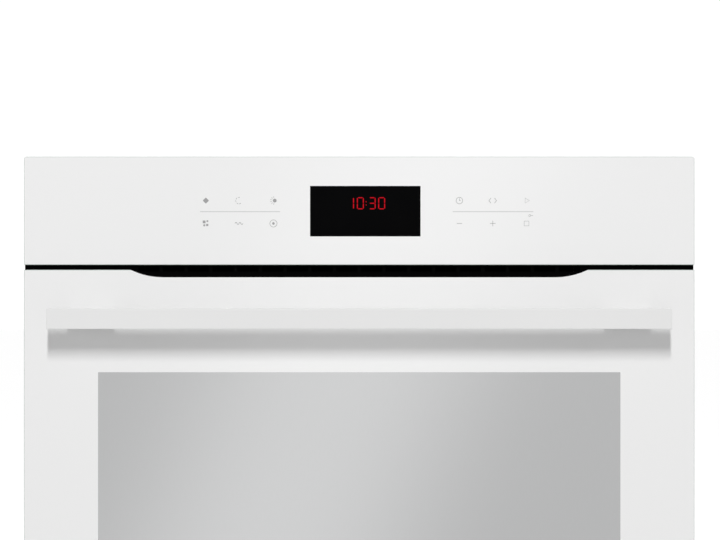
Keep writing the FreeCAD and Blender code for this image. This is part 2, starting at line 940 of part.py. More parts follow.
def insulation_blanket():
    """Mineral wool round the cavity, with openings for what goes through it."""
    side, gauge, play = "cavity_side + sheet_gauge", "blanket_gauge", "blanket_play"
    floor, roof = "cavity_floor - sheet_gauge - floor_gap", "cavity_roof + sheet_gauge"
    outer = box(
        (f"-({side}) - {gauge}", f"{side} + {gauge}"),
        ("frame_back + sheet_gauge", f"liner_rear + {gauge}"),
        (f"{floor} - {gauge}", f"{roof} + {gauge}"),
    )
    inner = box(
        (f"-({side}) - {play}", f"{side} + {play}"),
        ("frame_back", f"liner_rear + {play}"),
        (floor, f"{roof} + {play}"),
    )
    rear = ("liner_rear - 1", f"liner_rear + {gauge} + 1")
    through = f"{gauge} + 2"
    tools = [
        rod("y", "bracket_reach + 12", through, "0", rear[0], "cavity_middle"),
        rod("y", "holder_radius + 1", through, "lamp_x", rear[0], "lamp_z"),
        rod("y", "probe_radius + 2", through, "probe_x", rear[0], "lamp_z"),
        rod("z", "flue_flange + 1", through, "flue_x", "flue_y", "cavity_roof"),
        box(("-ring_foot_x - 10", "ring_foot_x + 10"), rear, ("ring_foot_z - 10", "ring_foot_z + 10")),
    ]
    for level in ("grill_z", "base_z"):
        tools.append(
            box(
                ("-terminal_gap - 12", "terminal_gap + 12"),
                rear,
                (f"{level} - element_radius - 3", f"{level} + element_radius + 3"),
            )
        )
    keep("insulation_blanket", cut(outer, inner, *tools, name="insulation_blanket"))


def flue_pipe():
    """Lets cooking steam out of the cavity into the cooling duct."""
    rise = "duct_bottom - cavity_roof"
    pipe = rod("z", "flue_radius", rise, "flue_x", "flue_y", "cavity_roof")
    flange = rod("z", "flue_flange", "sheet_gauge", "flue_x", "flue_y", "cavity_roof + sheet_gauge")
    bore = rod("z", "flue_radius - sheet_gauge", f"{rise} + 2", "flue_x", "flue_y", "cavity_roof - 1")
    keep("flue_pipe", cut(fused(pipe, flange), bore, name="flue_pipe"))


# ---------------------------------------------------------------- heat


def flat_element(name, z, rear):
    """A tubular heater in ten passes, with both ends behind the cavity."""
    level, tail, back = size(z), size("element_tail"), size(rear)
    front, stagger = size("frame_back + element_front"), size("element_stagger")
    x, pitch, gap = size("element_side"), size("element_pitch"), size("terminal_gap")
    steps = [(gap, tail), (gap, back), (x, back)]
    for turn in range(1, PASSES):
        y = front + stagger if turn % 2 else back - stagger
        steps += [(x, y), (x - pitch, y)]
        x -= pitch
    steps.append((x, front))
    right = vectors(*((x, y, level) for x, y in steps))
    left = vectors(*((-x, y, level) for x, y in reversed(steps)))
    keep(name, shaped(name, tube(right + left, size("element_radius"), size("element_bend"))))


def ring_element():
    """The heater round the fan, with its ends turned back through the rear wall."""
    radius, ring = size("element_radius"), size("ring_radius")
    plane, middle = size("ring_y"), size("cavity_middle")
    ends = [Vector(side * size("ring_foot_x"), plane, size("ring_foot_z")) for side in (1, -1)]
    hoop = Part.Arc(ends[0], Vector(0, plane, middle + ring), ends[1]).toShape()
    spoke = (ends[0] - Vector(0, plane, middle)).normalize()
    aim = Vector(0, 1, 0).cross(spoke)
    section = Part.Wire(Part.makeCircle(radius, ends[0], aim))
    pieces = [Part.Wire(hoop).makePipeShell([section], True, False)]
    depth = size("element_tail") - plane
    for end in ends:
        pieces.append(Part.makeCylinder(radius, depth, end, Vector(0, 1, 0)))
        pieces.append(Part.makeSphere(radius, end))
    keep("ring_element", shaped("ring_element", pieces[0].multiFuse(pieces[1:])))


def fan_cover():
    """The pressed cover of the fan: intake holes in rings, hot-air slots at both sides."""
    item = put(body("fan_cover"), z="cavity_middle")
    wide, tall, gauge = "fan_cover_width / 2", "fan_cover_height / 2", "sheet_gauge"
    shell = sketch(item, "y", "fan_cover_front")
    rectangle(shell, (f"-{wide}", wide), (f"-{tall}", tall))
    pad(item, shell, "fan_cover_depth")
    hollow = sketch(item, "y", f"fan_cover_front + {gauge}")
    inside = [(f"-{half} + {gauge}", f"{half} - {gauge}") for half in (wide, tall)]
    rectangle(hollow, *inside)
    pocket(item, hollow, "fan_cover_depth")
    for less in (gauge, "0"):
        side = size(f"{wide} - {less}")
        fillet(
            item,
            f"fan_cover_round - {less}",
            lambda middle, run: abs(run.y) > 0.999 and abs(abs(middle.x) - side) < 0.01,
        )
    slots = sketch(item, "x", f"-{wide} - 1")
    for n in (-2, -1, 0, 1, 2):
        low = f"{n} * outlet_pitch - outlet_height / 2"
        rectangle(
            slots,
            ("fan_cover_front + outlet_margin", "cavity_rear - outlet_margin"),
            (low, f"{low} + outlet_height"),
        )
    pocket(item, slots, "fan_cover_width + 2")
    for ring in range(1, INTAKE_RINGS + 1):
        hole = sketch(item, "y", "fan_cover_front")
        circle(hole, "0", f"{ring} * intake_pitch", "intake_hole")
        polar(item, pocket(item, hole, gauge), 6 * ring, "Y_Axis")
    keep("fan_cover", item)


def convection_fan():
    item = put(body("convection_fan"), z="cavity_middle")
    disc = sketch(item, "y", "fan_back - fan_gauge")
    circle(disc, "0", "0", "fan_radius")
    pad(item, disc, "fan_gauge")
    hub = sketch(item, "y", "fan_front")
    circle(hub, "0", "0", "fan_hub")
    pad(item, hub, "fan_depth")
    blade = sketch(item, "y", "fan_front")
    lean = "fan_lean"
    outline(
        blade,
        [
            ("fan_hub_reach", "0"),
            ("fan_hub_reach", "fan_gauge"),
            ("fan_radius - 3", f"{lean} + fan_gauge"),
            ("fan_radius - 3", lean),
        ],
    )
    polar(item, pad(item, blade, "fan_depth"), FAN_BLADES, "Y_Axis")
    bore = sketch(item, "y", "fan_front")
    circle(bore, "0", "0", "shaft_radius")
    pocket(item, bore, "fan_depth")
    keep("convection_fan", item)


def fan_shaft():
    """The shaft with its nut, the motor's rotor and a small cooling wheel."""
    item = put(body("fan_shaft"), z="cavity_middle")
    runs = [
        ("fan_front - 6", "shaft_radius", "shaft_length"),
        ("stator_front", "rotor_radius", "stator_gauge"),
        ("cooler_front", "rotor_radius / 2", "cooler_depth"),
        ("cooler_front + cooler_depth - sheet_gauge", "cooler_radius", "sheet_gauge"),
    ]
    for start, radius, length in runs:
        step = sketch(item, "y", start)
        circle(step, "0", "0", radius)
        pad(item, step, length)
    nut = sketch(item, "y", "fan_front - nut_height")
    turns = [math.radians(60 * n) for n in range(6)]
    outline(nut, [(f"nut_radius * {math.cos(t):.4f}", f"nut_radius * {math.sin(t):.4f}") for t in turns])
    pad(item, nut, "nut_height")
    paddle = sketch(item, "y", "cooler_front")
    rectangle(paddle, ("-sheet_gauge / 2", "sheet_gauge / 2"), ("rotor_radius / 3", "cooler_radius - 1"))
    polar(item, pad(item, paddle, "cooler_depth"), 8, "Y_Axis")
    keep("fan_shaft", item)


def fan_motor():
    half, front, middle = "stator_size / 2", "stator_front", "cavity_middle"
    rear = f"{front} + stator_gauge"
    stack = box((f"-{half}", half), (front, rear), (f"{middle} - {half}", f"{middle} + {half}"))
    gap = rod("y", "rotor_radius + rotor_gap", "stator_gauge + 2", "0", f"{front} - 1", middle)
    window = box(
        ("rotor_radius + 5", f"{half} - 8"),
        (f"{front} - 1", f"{rear} + 1"),
        (f"{middle} - 12", f"{middle} + 12"),
    )
    coil = box(
        ("rotor_radius + 6", f"{half} + 9"),
        (f"{front} - 7", f"{rear} + 6"),
        (f"{middle} - 11", f"{middle} + 11"),
    )
    keep("fan_motor_stator", fused(cut(stack, gap, window), coil, name="fan_motor_stator"))

    reach = "bracket_reach"
    plate = box(
        (f"-{reach}", reach),
        ("liner_rear", "liner_rear + frame_gauge"),
        (f"{middle} - {half}", f"{middle} + {half}"),
    )
    hole = rod("y", "shaft_hole", "frame_gauge + 2", "0", "liner_rear - 1", middle)
    legs = [
        rod(
            "y",
            "3",
            f"{front} - liner_rear - frame_gauge",
            f"{across} * (stator_size / 2 - 7)",
            "liner_rear + frame_gauge",
            f"{middle} + {up} * (stator_size / 2 - 7)",
        )
        for across in SIDES.values()
        for up in SIDES.values()
    ]
    keep("fan_motor_bracket", fused(cut(plate, hole), *legs, name="fan_motor_bracket"))


def oven_lamp():
    """Lens in the rear wall, ceramic holder behind it and a halogen capsule between."""
    x, z, rear = "lamp_x", "lamp_z", "liner_rear"
    cup = rod("y", "holder_radius", "holder_depth", x, rear, z)
    well = rod("y", "holder_radius - 3", "holder_depth - 9", x, f"{rear} - 1", z)
    pins = rod("y", "bulb_radius", "8", x, f"{rear} + holder_depth - 14", z)
    keep("lamp_holder", cut(cup, well, pins, name="lamp_holder"))

    base = f"{rear} + holder_depth - 16"
    socket = rod("y", "bulb_radius", "10", x, base, z)
    glass = rod("y", "bulb_radius - 1.5", "14", x, f"{base} - 14", z)
    tip = doc.addObject("Part::Sphere", "tip")
    bind(tip, Radius="bulb_radius - 1.5")
    put(tip, x, f"{base} - 14", z)
    keep("lamp_bulb", fused(socket, glass, tip, name="lamp_bulb"))

    rim = rod("y", "lens_neck + 4", "lens_rise", x, "cavity_rear - lens_rise", z)
    neck = rod("y", "lens_neck", "sheet_gauge + lens_rise", x, "cavity_rear - lens_rise", z)
    hollow = rod("y", "lens_neck - 2.5", "sheet_gauge + lens_rise", x, "cavity_rear - lens_rise + 2.5", z)
    lens = cut(fused(rim, neck), hollow)
    rounded = doc.addObject("Part::Fillet", "lamp_lens")
    rounded.Base = lens
    doc.recompute()
    front = size("cavity_rear - lens_rise")
    edges = [n for n, e in enumerate(lens.Shape.Edges, 1) if e.BoundBox.YMax < front + 0.01]
    rounded.Edges = [(n, 2.0, 2.0) for n in edges]
    keep("lamp_lens", rounded)


def temperature_probe():
    """A steel rod through the rear wall, with a flange and a plug behind it."""
    x, z = "probe_x", "lamp_z"
    stem = rod("y", "probe_radius", "probe_reach + probe_tail", x, "liner_rear - probe_reach", z)
    tip = doc.addObject("Part::Sphere", "tip")
    bind(tip, Radius="probe_radius")
    put(tip, x, "liner_rear - probe_reach", z)
    flange = rod("y", "probe_radius * 2.5", "sheet_gauge", x, "cavity_rear - sheet_gauge", z)
    tail = "liner_rear + probe_tail"
    plug = box(
        (f"{x} - plug_half", f"{x} + plug_half"),
        (tail, f"{tail} + plug_length"),
        (f"{z} - plug_half * 0.7", f"{z} + plug_half * 0.7"),
    )
    keep("temperature_probe", fused(stem, tip, flange, plug, name="temperature_probe"))


# ---------------------------------------------------------------- racks, runners, tray and shelf


def side_rack():
    """Two posts with five pairs of rungs, hung off the wall on short hooks."""
    bars = []
    low = "cavity_floor + first_level - rack_overhang"
    high = "cavity_roof - rack_headroom + slot_pitch + rack_overhang"
    for y in ("rack_start + post_radius", "rack_end - post_radius"):
        bars.append(rod("z", "post_radius", f"({high}) - ({low})", "post_x", y, low))
        for z in (f"{low} + hook_inset", f"{high} - hook_inset"):
            bars.append(rod("x", "post_radius", "post_gap", "cavity_side - post_gap", y, z))
    for level in range(LEVELS):
        for slot in ("0", "slot_pitch"):
            z = f"cavity_floor + first_level + {level} * level_pitch + {slot}"
            bars.append(rod("y", "rung_radius", "rack_length", "rung_x", "rack_start", z))
    return bars


def side_racks():
    right = together(*side_rack(), name="side_rack_right")
    left = mirrored(right, name="side_rack_left")
    keep("side_rack_right", right)
    keep("side_rack_left", left)


def channel(web, reach, low, high, y):
    """A channel along Y: its web at x = web, its flanges out to x = reach."""
    gauge = "rail_gauge"
    ahead = size(f"{reach} - ({web})") > 0
    inner = f"{web} + {gauge}" if ahead else f"{web} - {gauge}"
    ends = ((web, reach), (inner, f"{reach} + 1")) if ahead else ((reach, web), (f"{reach} - 1", inner))
    outer = box(ends[0], y, (low, high))
    hollow = box(ends[1], (f"{y[0]} - 1", f"{y[1]} + 1"), (f"{low} + {gauge}", f"{high} - {gauge}"))
    return cut(outer, hollow)


def runners():
    """Telescopic runners at the second level, each of three nested channels."""
    middle, half = "tray_level", "rail_height / 2"
    gauge, play = "rail_gauge", "rail_play"
    y = ("rail_start", "rail_end")
    outer = channel("rail_outer", "rail_inner", f"{middle} - {half}", f"{middle} + {half}", y)
    clips = [
        box(
            ("rail_outer - rail_gauge / 2", "rung_x + rung_radius"),
            (ahead, f"{ahead} + clip_length"),
            (f"{middle} + {half}", f"{middle} + {half} + {gauge}"),
        )
        for ahead in ("rack_start + clip_ahead", "rack_end - clip_ahead - clip_length")
    ]
    outer = both_sides(fused(outer, *clips), name="runner_outer_rails")
    keep("runner_outer_rails", outer)

    nest = f"({gauge} + {play})"
    slide = channel(
        f"rail_outer - {nest}",
        f"rail_inner + {play}",
        f"{middle} - {half} + {nest}",
        f"{middle} + {half} - {nest}",
        y,
    )
    keep("runner_middle_rails", both_sides(slide, name="runner_middle_rails"))

    step = f"2 * {nest}"
    tongue = channel(
        f"rail_inner - {gauge}",
        f"rail_outer - {nest} - {gauge} - {play}",
        f"{middle} - {half} + {step}",
        f"{middle} + {half} - {step}",
        y,
    )
    web = box((f"rail_inner - {gauge}", "rail_inner"), y, (f"{middle}", "tray_rest"))
    shelf = box((f"rail_inner - {gauge}", "tray_side"), y, (f"tray_rest - {gauge}", "tray_rest"))
    keep("runner_inner_rails", both_sides(fused(tongue, web, shelf), name="runner_inner_rails"))


def baking_tray():
    item = body("baking_tray")
    gauge = "tray_gauge"
    rim = sketch(item, "z", "tray_rest")
    rectangle(rim, ("-tray_side", "tray_side"), ("tray_start", "tray_end"))
    pad(item, rim, gauge)
    basin = sketch(item, "z", "tray_floor")
    rectangle(basin, ("-basin_side", "basin_side"), ("tray_start + tray_rim", "tray_end - tray_rim"))
    pad(item, basin, "tray_rest - tray_floor")
    hollow = sketch(item, "z", f"tray_floor + {gauge}")
    rectangle(
        hollow,
        (f"-basin_side + {gauge}", f"basin_side - {gauge}"),
        (f"tray_start + tray_rim + {gauge}", f"tray_end - tray_rim - {gauge}"),
    )
    pocket(item, hollow, "tray_depth")
    for less in (gauge, "0"):
        side, foot = size(f"basin_side - {less}"), size(f"tray_floor + {less}")
        fillet(
            item,
            f"tray_round - {less}",
            lambda middle, run: abs(run.z) > 0.999 and abs(abs(middle.x) - side) < 0.01,
        )
        fillet(item, f"tray_foot - {less}", lambda middle, run: abs(middle.z - foot) < 0.01)
    rim_side = size("tray_side")
    fillet(
        item,
        "tray_round",
        lambda middle, run: abs(run.z) > 0.999 and abs(abs(middle.x) - rim_side) < 0.01,
    )
    keep("baking_tray", item)


def wire_shelf():
    """A bent wire frame with two cross bars below a row of thin wires."""
    side, front, back, z = (size(f"shelf_{name}") for name in ("side", "start", "end", "z"))
    radius, wire = size("shelf_radius"), size("shelf_wire")
    centre = (front + back) / 2
    bend = size("shelf_bend")
    halves = [
        tube(vectors((-side, centre, z), (-side, end, z), (side, end, z), (side, centre, z)), radius, bend)
        for end in (front, back)
    ]
    bars = []
    for n in range(SHELF_WIRES):
        x = (n - (SHELF_WIRES - 1) / 2) * 2 * (side - 18) / (SHELF_WIRES - 1)
        bars.append(Part.makeCylinder(wire, back - front, Vector(x, front, z + 1), Vector(0, 1, 0)))
    for y in (front + 110, back - 110):
        low = z + 1 - wire * 1.8
        bars.append(Part.makeCylinder(wire * 1.2, 2 * side, Vector(-side, y, low), Vector(1, 0, 0)))
    keep("wire_shelf", shaped("wire_shelf", halves[0].multiFuse(halves[1:] + bars)))


# ---------------------------------------------------------------- the cooling air


def blower():
    """A long drum blower over the cavity, which blows forward under the control panel."""
    y, z, side, gauge = "blower_y", "blower_height", "blower_side", "plastic_gauge"
    scroll = "scroll_radius"
    shell = rod("x", f"{scroll} + {gauge}", f"blower_length + 2 * {gauge}", f"-{side} - {gauge}", y, z)
    throat = box(
        (f"-{side} - {gauge}", f"{side} + {gauge}"),
        ("duct_end", y),
        (f"duct_bottom - {gauge}", f"duct_top + {gauge}"),
    )
    inside = rod("x", scroll, "blower_length", f"-{side}", y, z)
    mouth = box(
        (f"-{side}", side),
        ("duct_end - 1", f"{y} - {gauge}"),
        ("duct_bottom", "duct_top"),
    )
    intake = box(
        (f"-{side} + intake_inset", f"{side} - intake_inset"),
        (f"{y} - intake_half", f"{y} + intake_half"),
        (z, f"{z} + {scroll} + intake_half"),
    )
    ends = rod("x", "shaft_hole / 2", "blower_length + 20", f"-{side} - 10", y, z)
    feet = []
    for sign in SIDES.values():
        wall = f"{sign} * ({side} + {gauge} / 2)"
        feet.append(
            box(
                (f"{wall} - {gauge} / 2", f"{wall} + {gauge} / 2"),
                (f"{y} - blower_foot / 2", f"{y} + blower_foot / 2"),
                (f"{z} + shaft_hole", "casing_height - sheet_gauge"),
            )
        )
    drum = cut(fused(shell, throat, *feet), inside, mouth, intake, ends)
    keep("blower_housing", drum)

    item = body("blower_rotor")
    put(item, None, y, z)
    for x in (f"-{side} + drum_inset", "-drum_disc / 2", f"{side} - drum_inset - drum_disc"):
        disc = sketch(item, "x", x)
        circle(disc, "0", "0", "blower_radius")
        pad(item, disc, "drum_disc")
    blade = sketch(item, "x", f"-{side} + drum_inset")
    outline(
        blade,
        [
            ("0", "blower_radius - drum_blade"),
            ("1", "blower_radius - drum_blade"),
            ("4", "blower_radius - 0.6"),
            ("3", "blower_radius - 0.6"),
        ],
    )
    polar(item, pad(item, blade, "blower_length - 2 * drum_inset"), DRUM_BLADES, "X_Axis")
    axle = sketch(item, "x", f"-{side} - 6")
    circle(axle, "0", "0", "shaft_radius / 2")
    pad(item, axle, "blower_length + drum_inset * 2 + 10 + motor_shaft")
    keep("blower_rotor", item)

    start = f"{side} + {gauge} + motor_clear"
    can = rod("x", "blower_radius - 4", "motor_length", start, y, z)
    bore = rod("x", "shaft_radius / 2 + shaft_play", "60", f"{start} - 5", y, z)
    legs = [
        rod("x", "screw_hole", "motor_clear", f"{side} + {gauge}", f"{y} + {turn} * 15", f"{z} + {up} * 13")
        for turn in SIDES.values()
        for up in SIDES.values()
    ]
    keep("blower_motor", cut(fused(can, *legs), bore, name="blower_motor"))


def outlet_duct():
    gauge = "plastic_gauge"
    outer = box(
        ("-duct_side", "duct_side"),
        ("strip_back", "duct_end"),
        (f"duct_bottom - {gauge}", f"duct_top + {gauge}"),
    )
    inner = box(
        (f"-duct_side + {gauge}", f"duct_side - {gauge}"),
        ("strip_back - 1", "duct_end + 1"),
        ("duct_bottom", "duct_top"),
    )
    flue = rod("z", "flue_radius + 0.2", "6", "flue_x", "flue_y", "duct_bottom - 4")
    keep("outlet_duct", cut(outer, inner, flue, name="outlet_duct"))


def vent_strip():
    """The dark slotted strip in the gap between the control panel and the door."""
    item = body("vent_strip")
    strip = sketch(item, "y", "strip_back - strip_gauge")
    rectangle(strip, ("-strip_side", "strip_side"), ("strip_bottom", "strip_top"))
    pad(item, strip, "strip_gauge")
    tabs = sketch(item, "y", "strip_back")
    for sign in SIDES.values():
        rectangle(
            tabs,
            (f"{sign} * (flange_reach - 14)", f"{sign} * flange_reach"),
            ("strip_bottom + 8", "strip_top"),
        )
    pad(item, tabs, "cabinet_plane - frame_gauge - strip_back")
    slot = sketch(item, "y", "strip_back - strip_gauge")
    left = f"-{(VENT_SLOTS - 1) / 2} * strip_pitch"
    rectangle(
        slot,
        (f"{left} - (strip_pitch - strip_bridge) / 2", f"{left} + (strip_pitch - strip_bridge) / 2"),
        ("duct_bottom + 1.4", "duct_top - 4"),
    )
    linear(item, pocket(item, slot, "strip_gauge"), VENT_SLOTS, f"strip_pitch * {VENT_SLOTS - 1}", "X_Axis")
    keep("vent_strip", item)


# ---------------------------------------------------------------- the control panel and electrics


def control_glass():
    item = body("control_glass")
    face = sketch(item, "y", "glass_front")
    rectangle(face, ("-front_side", "front_side"), ("panel_bottom", "front_top"))
    pad(item, face, "glass_gauge")
    top = size("front_top")
    fillet(item, "corner_round", lambda middle, run: abs(run.y) > 0.999 and middle.z > top - 0.01)
    front = size("glass_front")
    chamfer(item, "glass_edge", lambda middle, run: middle.y < front + 0.01)
    keep("control_glass", item)


def control_carrier():
    """The moulded tray behind the panel's glass, with a window for the display."""
    item = body("control_carrier")
    gauge = "plastic_gauge"
    tray = sketch(item, "y", "glass_back")
    rectangle(tray, ("-carrier_side", "carrier_side"), ("carrier_bottom", "carrier_top"))
    pad(item, tray, "cabinet_plane - frame_gauge - glass_back")
    hollow = sketch(item, "y", f"glass_back + {gauge}")
    rectangle(
        hollow,
        (f"-carrier_side + {gauge}", f"carrier_side - {gauge}"),
        (f"carrier_bottom + {gauge}", f"carrier_top - {gauge}"),
    )
    pocket(item, hollow, "front_stand")
    window = sketch(item, "y", "glass_back")
    rectangle(window, *DISPLAY_WINDOW)
    pocket(item, window, gauge)
    keep("control_carrier", item)


def touch_board():
    plane = "glass_back + plastic_gauge"
    board = box(
        ("-touch_side", "touch_side"),
        (plane, f"{plane} + board_gauge"),
        ("display_z - touch_rise", "display_z + touch_rise"),
    )
    window = box(
        DISPLAY_WINDOW[0],
        (f"{plane} - 1", f"{plane} + board_gauge + 1"),
        DISPLAY_WINDOW[1],
    )
    chips = []
    for sign in SIDES.values():
        x, z = f"{sign} * (touch_side / 2 + chip_out)", "display_z - chip_drop"
        chips.append(
            box(
                (f"{x} - chip_half", f"{x} + chip_half"),
                (f"{plane} + board_gauge", f"{plane} + board_gauge + chip_gauge"),
                (f"{z} - chip_half", f"{z} + chip_half"),
            )
        )
    keep("touch_board", fused(cut(board, window), *chips, name="touch_board"))


def display_module():
    module = box(DISPLAY_WINDOW[0], ("glass_back", "glass_back + display_depth"), DISPLAY_WINDOW[1])
    keep("display_module", module)


def power_board():
    """The relay board, hung under the casing top on four posts."""
    x, y, top = ("board_x", "board_x + board_width"), ("board_y", "board_y + board_length"), "board_z"
    board = box(x, y, (top, f"{top} + board_gauge"))
    posts = [
        rod("z", "board_post", "board_drop - board_gauge", px, py, f"{top} + board_gauge")
        for px in (f"{x[0]} + post_inset", f"{x[1]} - post_inset")
        for py in (f"{y[0]} + post_inset", f"{y[1]} - post_inset")
    ]
    relays = []
    for n in range(RELAYS):
        low = f"board_y + relay_margin + {n} * relay_pitch"
        relays.append(
            box(
                ("board_x + relay_margin", "board_x + relay_margin + relay_width"),
                (low, f"{low} + relay_length"),
                (f"{top} - relay_height", top),
            )
        )
    transformer = box(
        ("board_x + coil_x", "board_x + coil_x + coil_width"),
        ("board_y + relay_margin", "board_y + relay_margin + coil_length"),
        (f"{top} - coil_height", top),
    )
    connector = box(
        ("loom_x - socket_half", "loom_x + socket_half"),
        ("socket_rear - socket_length", "socket_rear"),
        (f"{top} - socket_height", top),
    )
    keep("power_board", fused(board, *posts, *relays, transformer, connector, name="power_board"))


def mains_inlet():
    x, z = "terminal_x", "terminal_z"
    width = (f"{x} - terminal_half", f"{x} + terminal_half")
    low = "terminal_top - terminal_height"
    base = box(width, ("terminal_rear - terminal_depth", "terminal_rear"), (low, "terminal_top"))
    tabs = [
        box(
            (f"{x} + {n} * tab_pitch - tab_width / 2", f"{x} + {n} * tab_pitch + tab_width / 2"),
            ("terminal_y - tab_depth / 2", "terminal_y + tab_depth / 2"),
            ("terminal_top", "terminal_top + tab_height"),
        )
        for n in (-1, 0, 1)
    ]
    foot = box(width, ("terminal_rear", "terminal_rear + terminal_foot"), (low, f"{low} + tab_height"))
    keep("terminal_block", fused(base, foot, *tabs, name="terminal_block"))

    start = "casing_rear - gland_inside"
    neck = rod("y", "gland_radius", "gland_length", x, start, z)
    collar = rod("y", "gland_radius + gland_rim", "gland_collar", x, "casing_rear", z)
    inner = "casing_rear - sheet_gauge - gland_collar"
    nut = rod("y", "gland_radius + gland_rim", "gland_collar", x, inner, z)
    bore = rod("y", "gland_bore", "gland_length", x, start, z)
    keep("cable_gland", cut(fused(neck, collar, nut), bore, name="cable_gland"))


def wiring_loom():
    """The bundle from the terminal block up to the relay board's connector."""
    start = spot("terminal_x", "terminal_rear - terminal_depth", "terminal_top - terminal_height / 2")
    end = spot("loom_x", "socket_rear - socket_length / 2", "board_z - socket_height")
    radius = size("loom_radius")
    ahead, drop = size("loom_ahead"), size("loom_drop")
    low = end.z - drop
    points = [
        start,
        start - Vector(0, ahead, 0),
        Vector(end.x, start.y - ahead, low),
        Vector(end.x, end.y, low),
        end,
    ]
    keep("wiring_loom", shaped("wiring_loom", tube(points, radius, size("loom_bend"))))


# ---------------------------------------------------------------- the door


def door_outer_glass():
    """The door's front pane. Its top edge dips to let the cooling air out."""
    item = body("door_outer_glass")
    half, ramp, top = "dip_width / 2", "dip_ramp", "door_top"
    low = f"({top} - dip_depth)"
    face = sketch(item, "y", "glass_front")
    outline(
        face,
        [
            ("-front_side", "front_bottom"),
            ("front_side", "front_bottom"),
            ("front_side", top),
            (half, top),
            (f"{half} - {ramp}", low),
            (f"-{half} + {ramp}", low),
            (f"-{half}", top),
            ("-front_side", top),
        ],
        bends={3: (f"{half} - {ramp}", False), 5: (f"-{half} + {ramp}", False)},
    )
    pad(item, face, "glass_gauge")
    foot = size("front_bottom")
    fillet(item, "corner_round", lambda middle, run: abs(run.y) > 0.999 and middle.z < foot + 0.01)
    holes = sketch(item, "y", "glass_front")
    for sign in SIDES.values():
        circle(holes, f"{sign} * handle_post_x", "handle_middle", "handle_screw + handle_fit")
    pocket(item, holes, "glass_gauge")
    front, side = size("glass_front"), size("front_side")
    chamfer(
        item,
        "glass_edge",
        lambda middle, run: middle.y < front + 0.01 and (abs(middle.x) > side - 1 or middle.z < foot + 1),
    )
    keep("door_outer_glass", item)


def inner_panes():
    rise = ("hinge_z + inner_rise", "pane_top")
    for name, side, plane in (
        ("door_middle_glass", "(column_inner - 1)", "middle_pane"),
        ("door_inner_glass", "inner_side", "core_back"),
    ):
        item = body(name)
        face = sketch(item, "y", plane)
        rectangle(face, (f"-{side}", side), rise)
        pad(item, face, "glass_gauge")
        fillet(item, "glass_edge * 6", along("y"))
        keep(name, item)


def door_columns():
    """Hollow side profiles, open below and behind for the hinge arm."""
    for side, sign in SIDES.items():
        item = body(f"door_column_{side}")
        gauge = "column_gauge"
        inner, outer = f"{sign} * column_inner", f"{sign} * column_outer"
        section = sketch(item, "z", "core_bottom")
        rectangle(section, (inner, outer), ("glass_back", "core_back"))
        pad(item, section, "trim_bottom - core_bottom")
        hollow = sketch(item, "z", "core_bottom")
        rectangle(
            hollow,
            (f"{inner} + {sign} * {gauge}", f"{outer} - {sign} * {gauge}"),
            (f"glass_back + {gauge}", f"core_back - {gauge}"),
        )
        pocket(item, hollow, "trim_bottom - core_bottom")
        slot = sketch(item, "y", f"core_back - {gauge}")
        middle = f"{sign} * column_middle"
        rectangle(
            slot,
            (f"{middle} - arm_gauge", f"{middle} + arm_gauge"),
            ("core_bottom", "hinge_z + arm_boss + 2"),
        )
        pocket(item, slot, gauge)
        keep(f"door_column_{side}", item)


def door_top_trim():
    """The dark profile that caps the door, with air slots and a groove for the middle pane."""
    item = body("door_top_trim")
    face = sketch(item, "y", "glass_back")
    rectangle(face, ("-column_outer", "column_outer"), ("trim_bottom", "core_top"))
    pad(item, face, "core_back - glass_back")
    lip = sketch(item, "y", "core_back")
    rectangle(lip, ("-column_outer", "column_outer"), ("pane_top", "core_top"))
    pad(item, lip, "glass_gauge + column_gauge")
    hook = sketch(item, "y", "pane_back")
    rectangle(hook, ("-column_outer", "column_outer"), ("pane_top - 6", "pane_top"))
    pad(item, hook, "column_gauge")
    groove = sketch(item, "z", "trim_bottom")
    rectangle(
        groove,
        ("-column_inner", "column_inner"),
        ("middle_pane - pane_play", "middle_pane + glass_gauge + pane_play"),
    )
    pocket(item, groove, "pane_top - trim_bottom")
    slot = sketch(item, "z", "trim_bottom")
    left = f"-{(VENT_SLOTS - 1) / 2} * strip_pitch"
    rectangle(
        slot,
        (f"{left} - (strip_pitch - strip_bridge) / 2", f"{left} + (strip_pitch - strip_bridge) / 2"),
        ("glass_back + 3", "middle_pane - 3"),
    )
    linear(item, pocket(item, slot, "trim_height"), VENT_SLOTS, f"strip_pitch * {VENT_SLOTS - 1}", "X_Axis")
    keep("door_top_trim", item)


def door_bottom_rail():
    item = body("door_bottom_rail")
    section = sketch(item, "x", "-column_inner")
    rectangle(section, ("glass_back", "core_back"), ("hinge_z", "rail_top"))
    pad(item, section, "2 * column_inner")
    hollow = sketch(item, "x", "-column_inner")
    gauge = "column_gauge"
    rectangle(
        hollow,
        (f"glass_back + {gauge}", f"core_back - {gauge}"),
        (f"hinge_z + {gauge}", f"rail_top - {gauge}"),
    )
    pocket(item, hollow, "2 * column_inner")
    keep("door_bottom_rail", item)


def pane_clips():
    """Corner clips on the bottom rail that carry the middle and inner panes."""
    pane_foot = "hinge_z + inner_rise"
    clips = []
    for sign in SIDES.values():
        x = (f"{sign} * clip_x - clip_width / 2", f"{sign} * clip_x + clip_width / 2")
        step = box(x, ("middle_pane - 3", "core_back"), ("rail_top", pane_foot))
        shelf = box(x, ("core_back", "pane_back + column_gauge"), ("rail_top - 6", pane_foot))
        hook = box(x, ("pane_back", "pane_back + column_gauge"), (pane_foot, f"{pane_foot} + 5"))
        stop = box(
            x,
            ("middle_pane + glass_gauge + pane_play", "core_back - pane_play"),
            (pane_foot, f"{pane_foot} + 9"),
        )
        clips.append(fused(step, shelf, hook, stop))
    keep("pane_clips", together(*clips, name="pane_clips"))


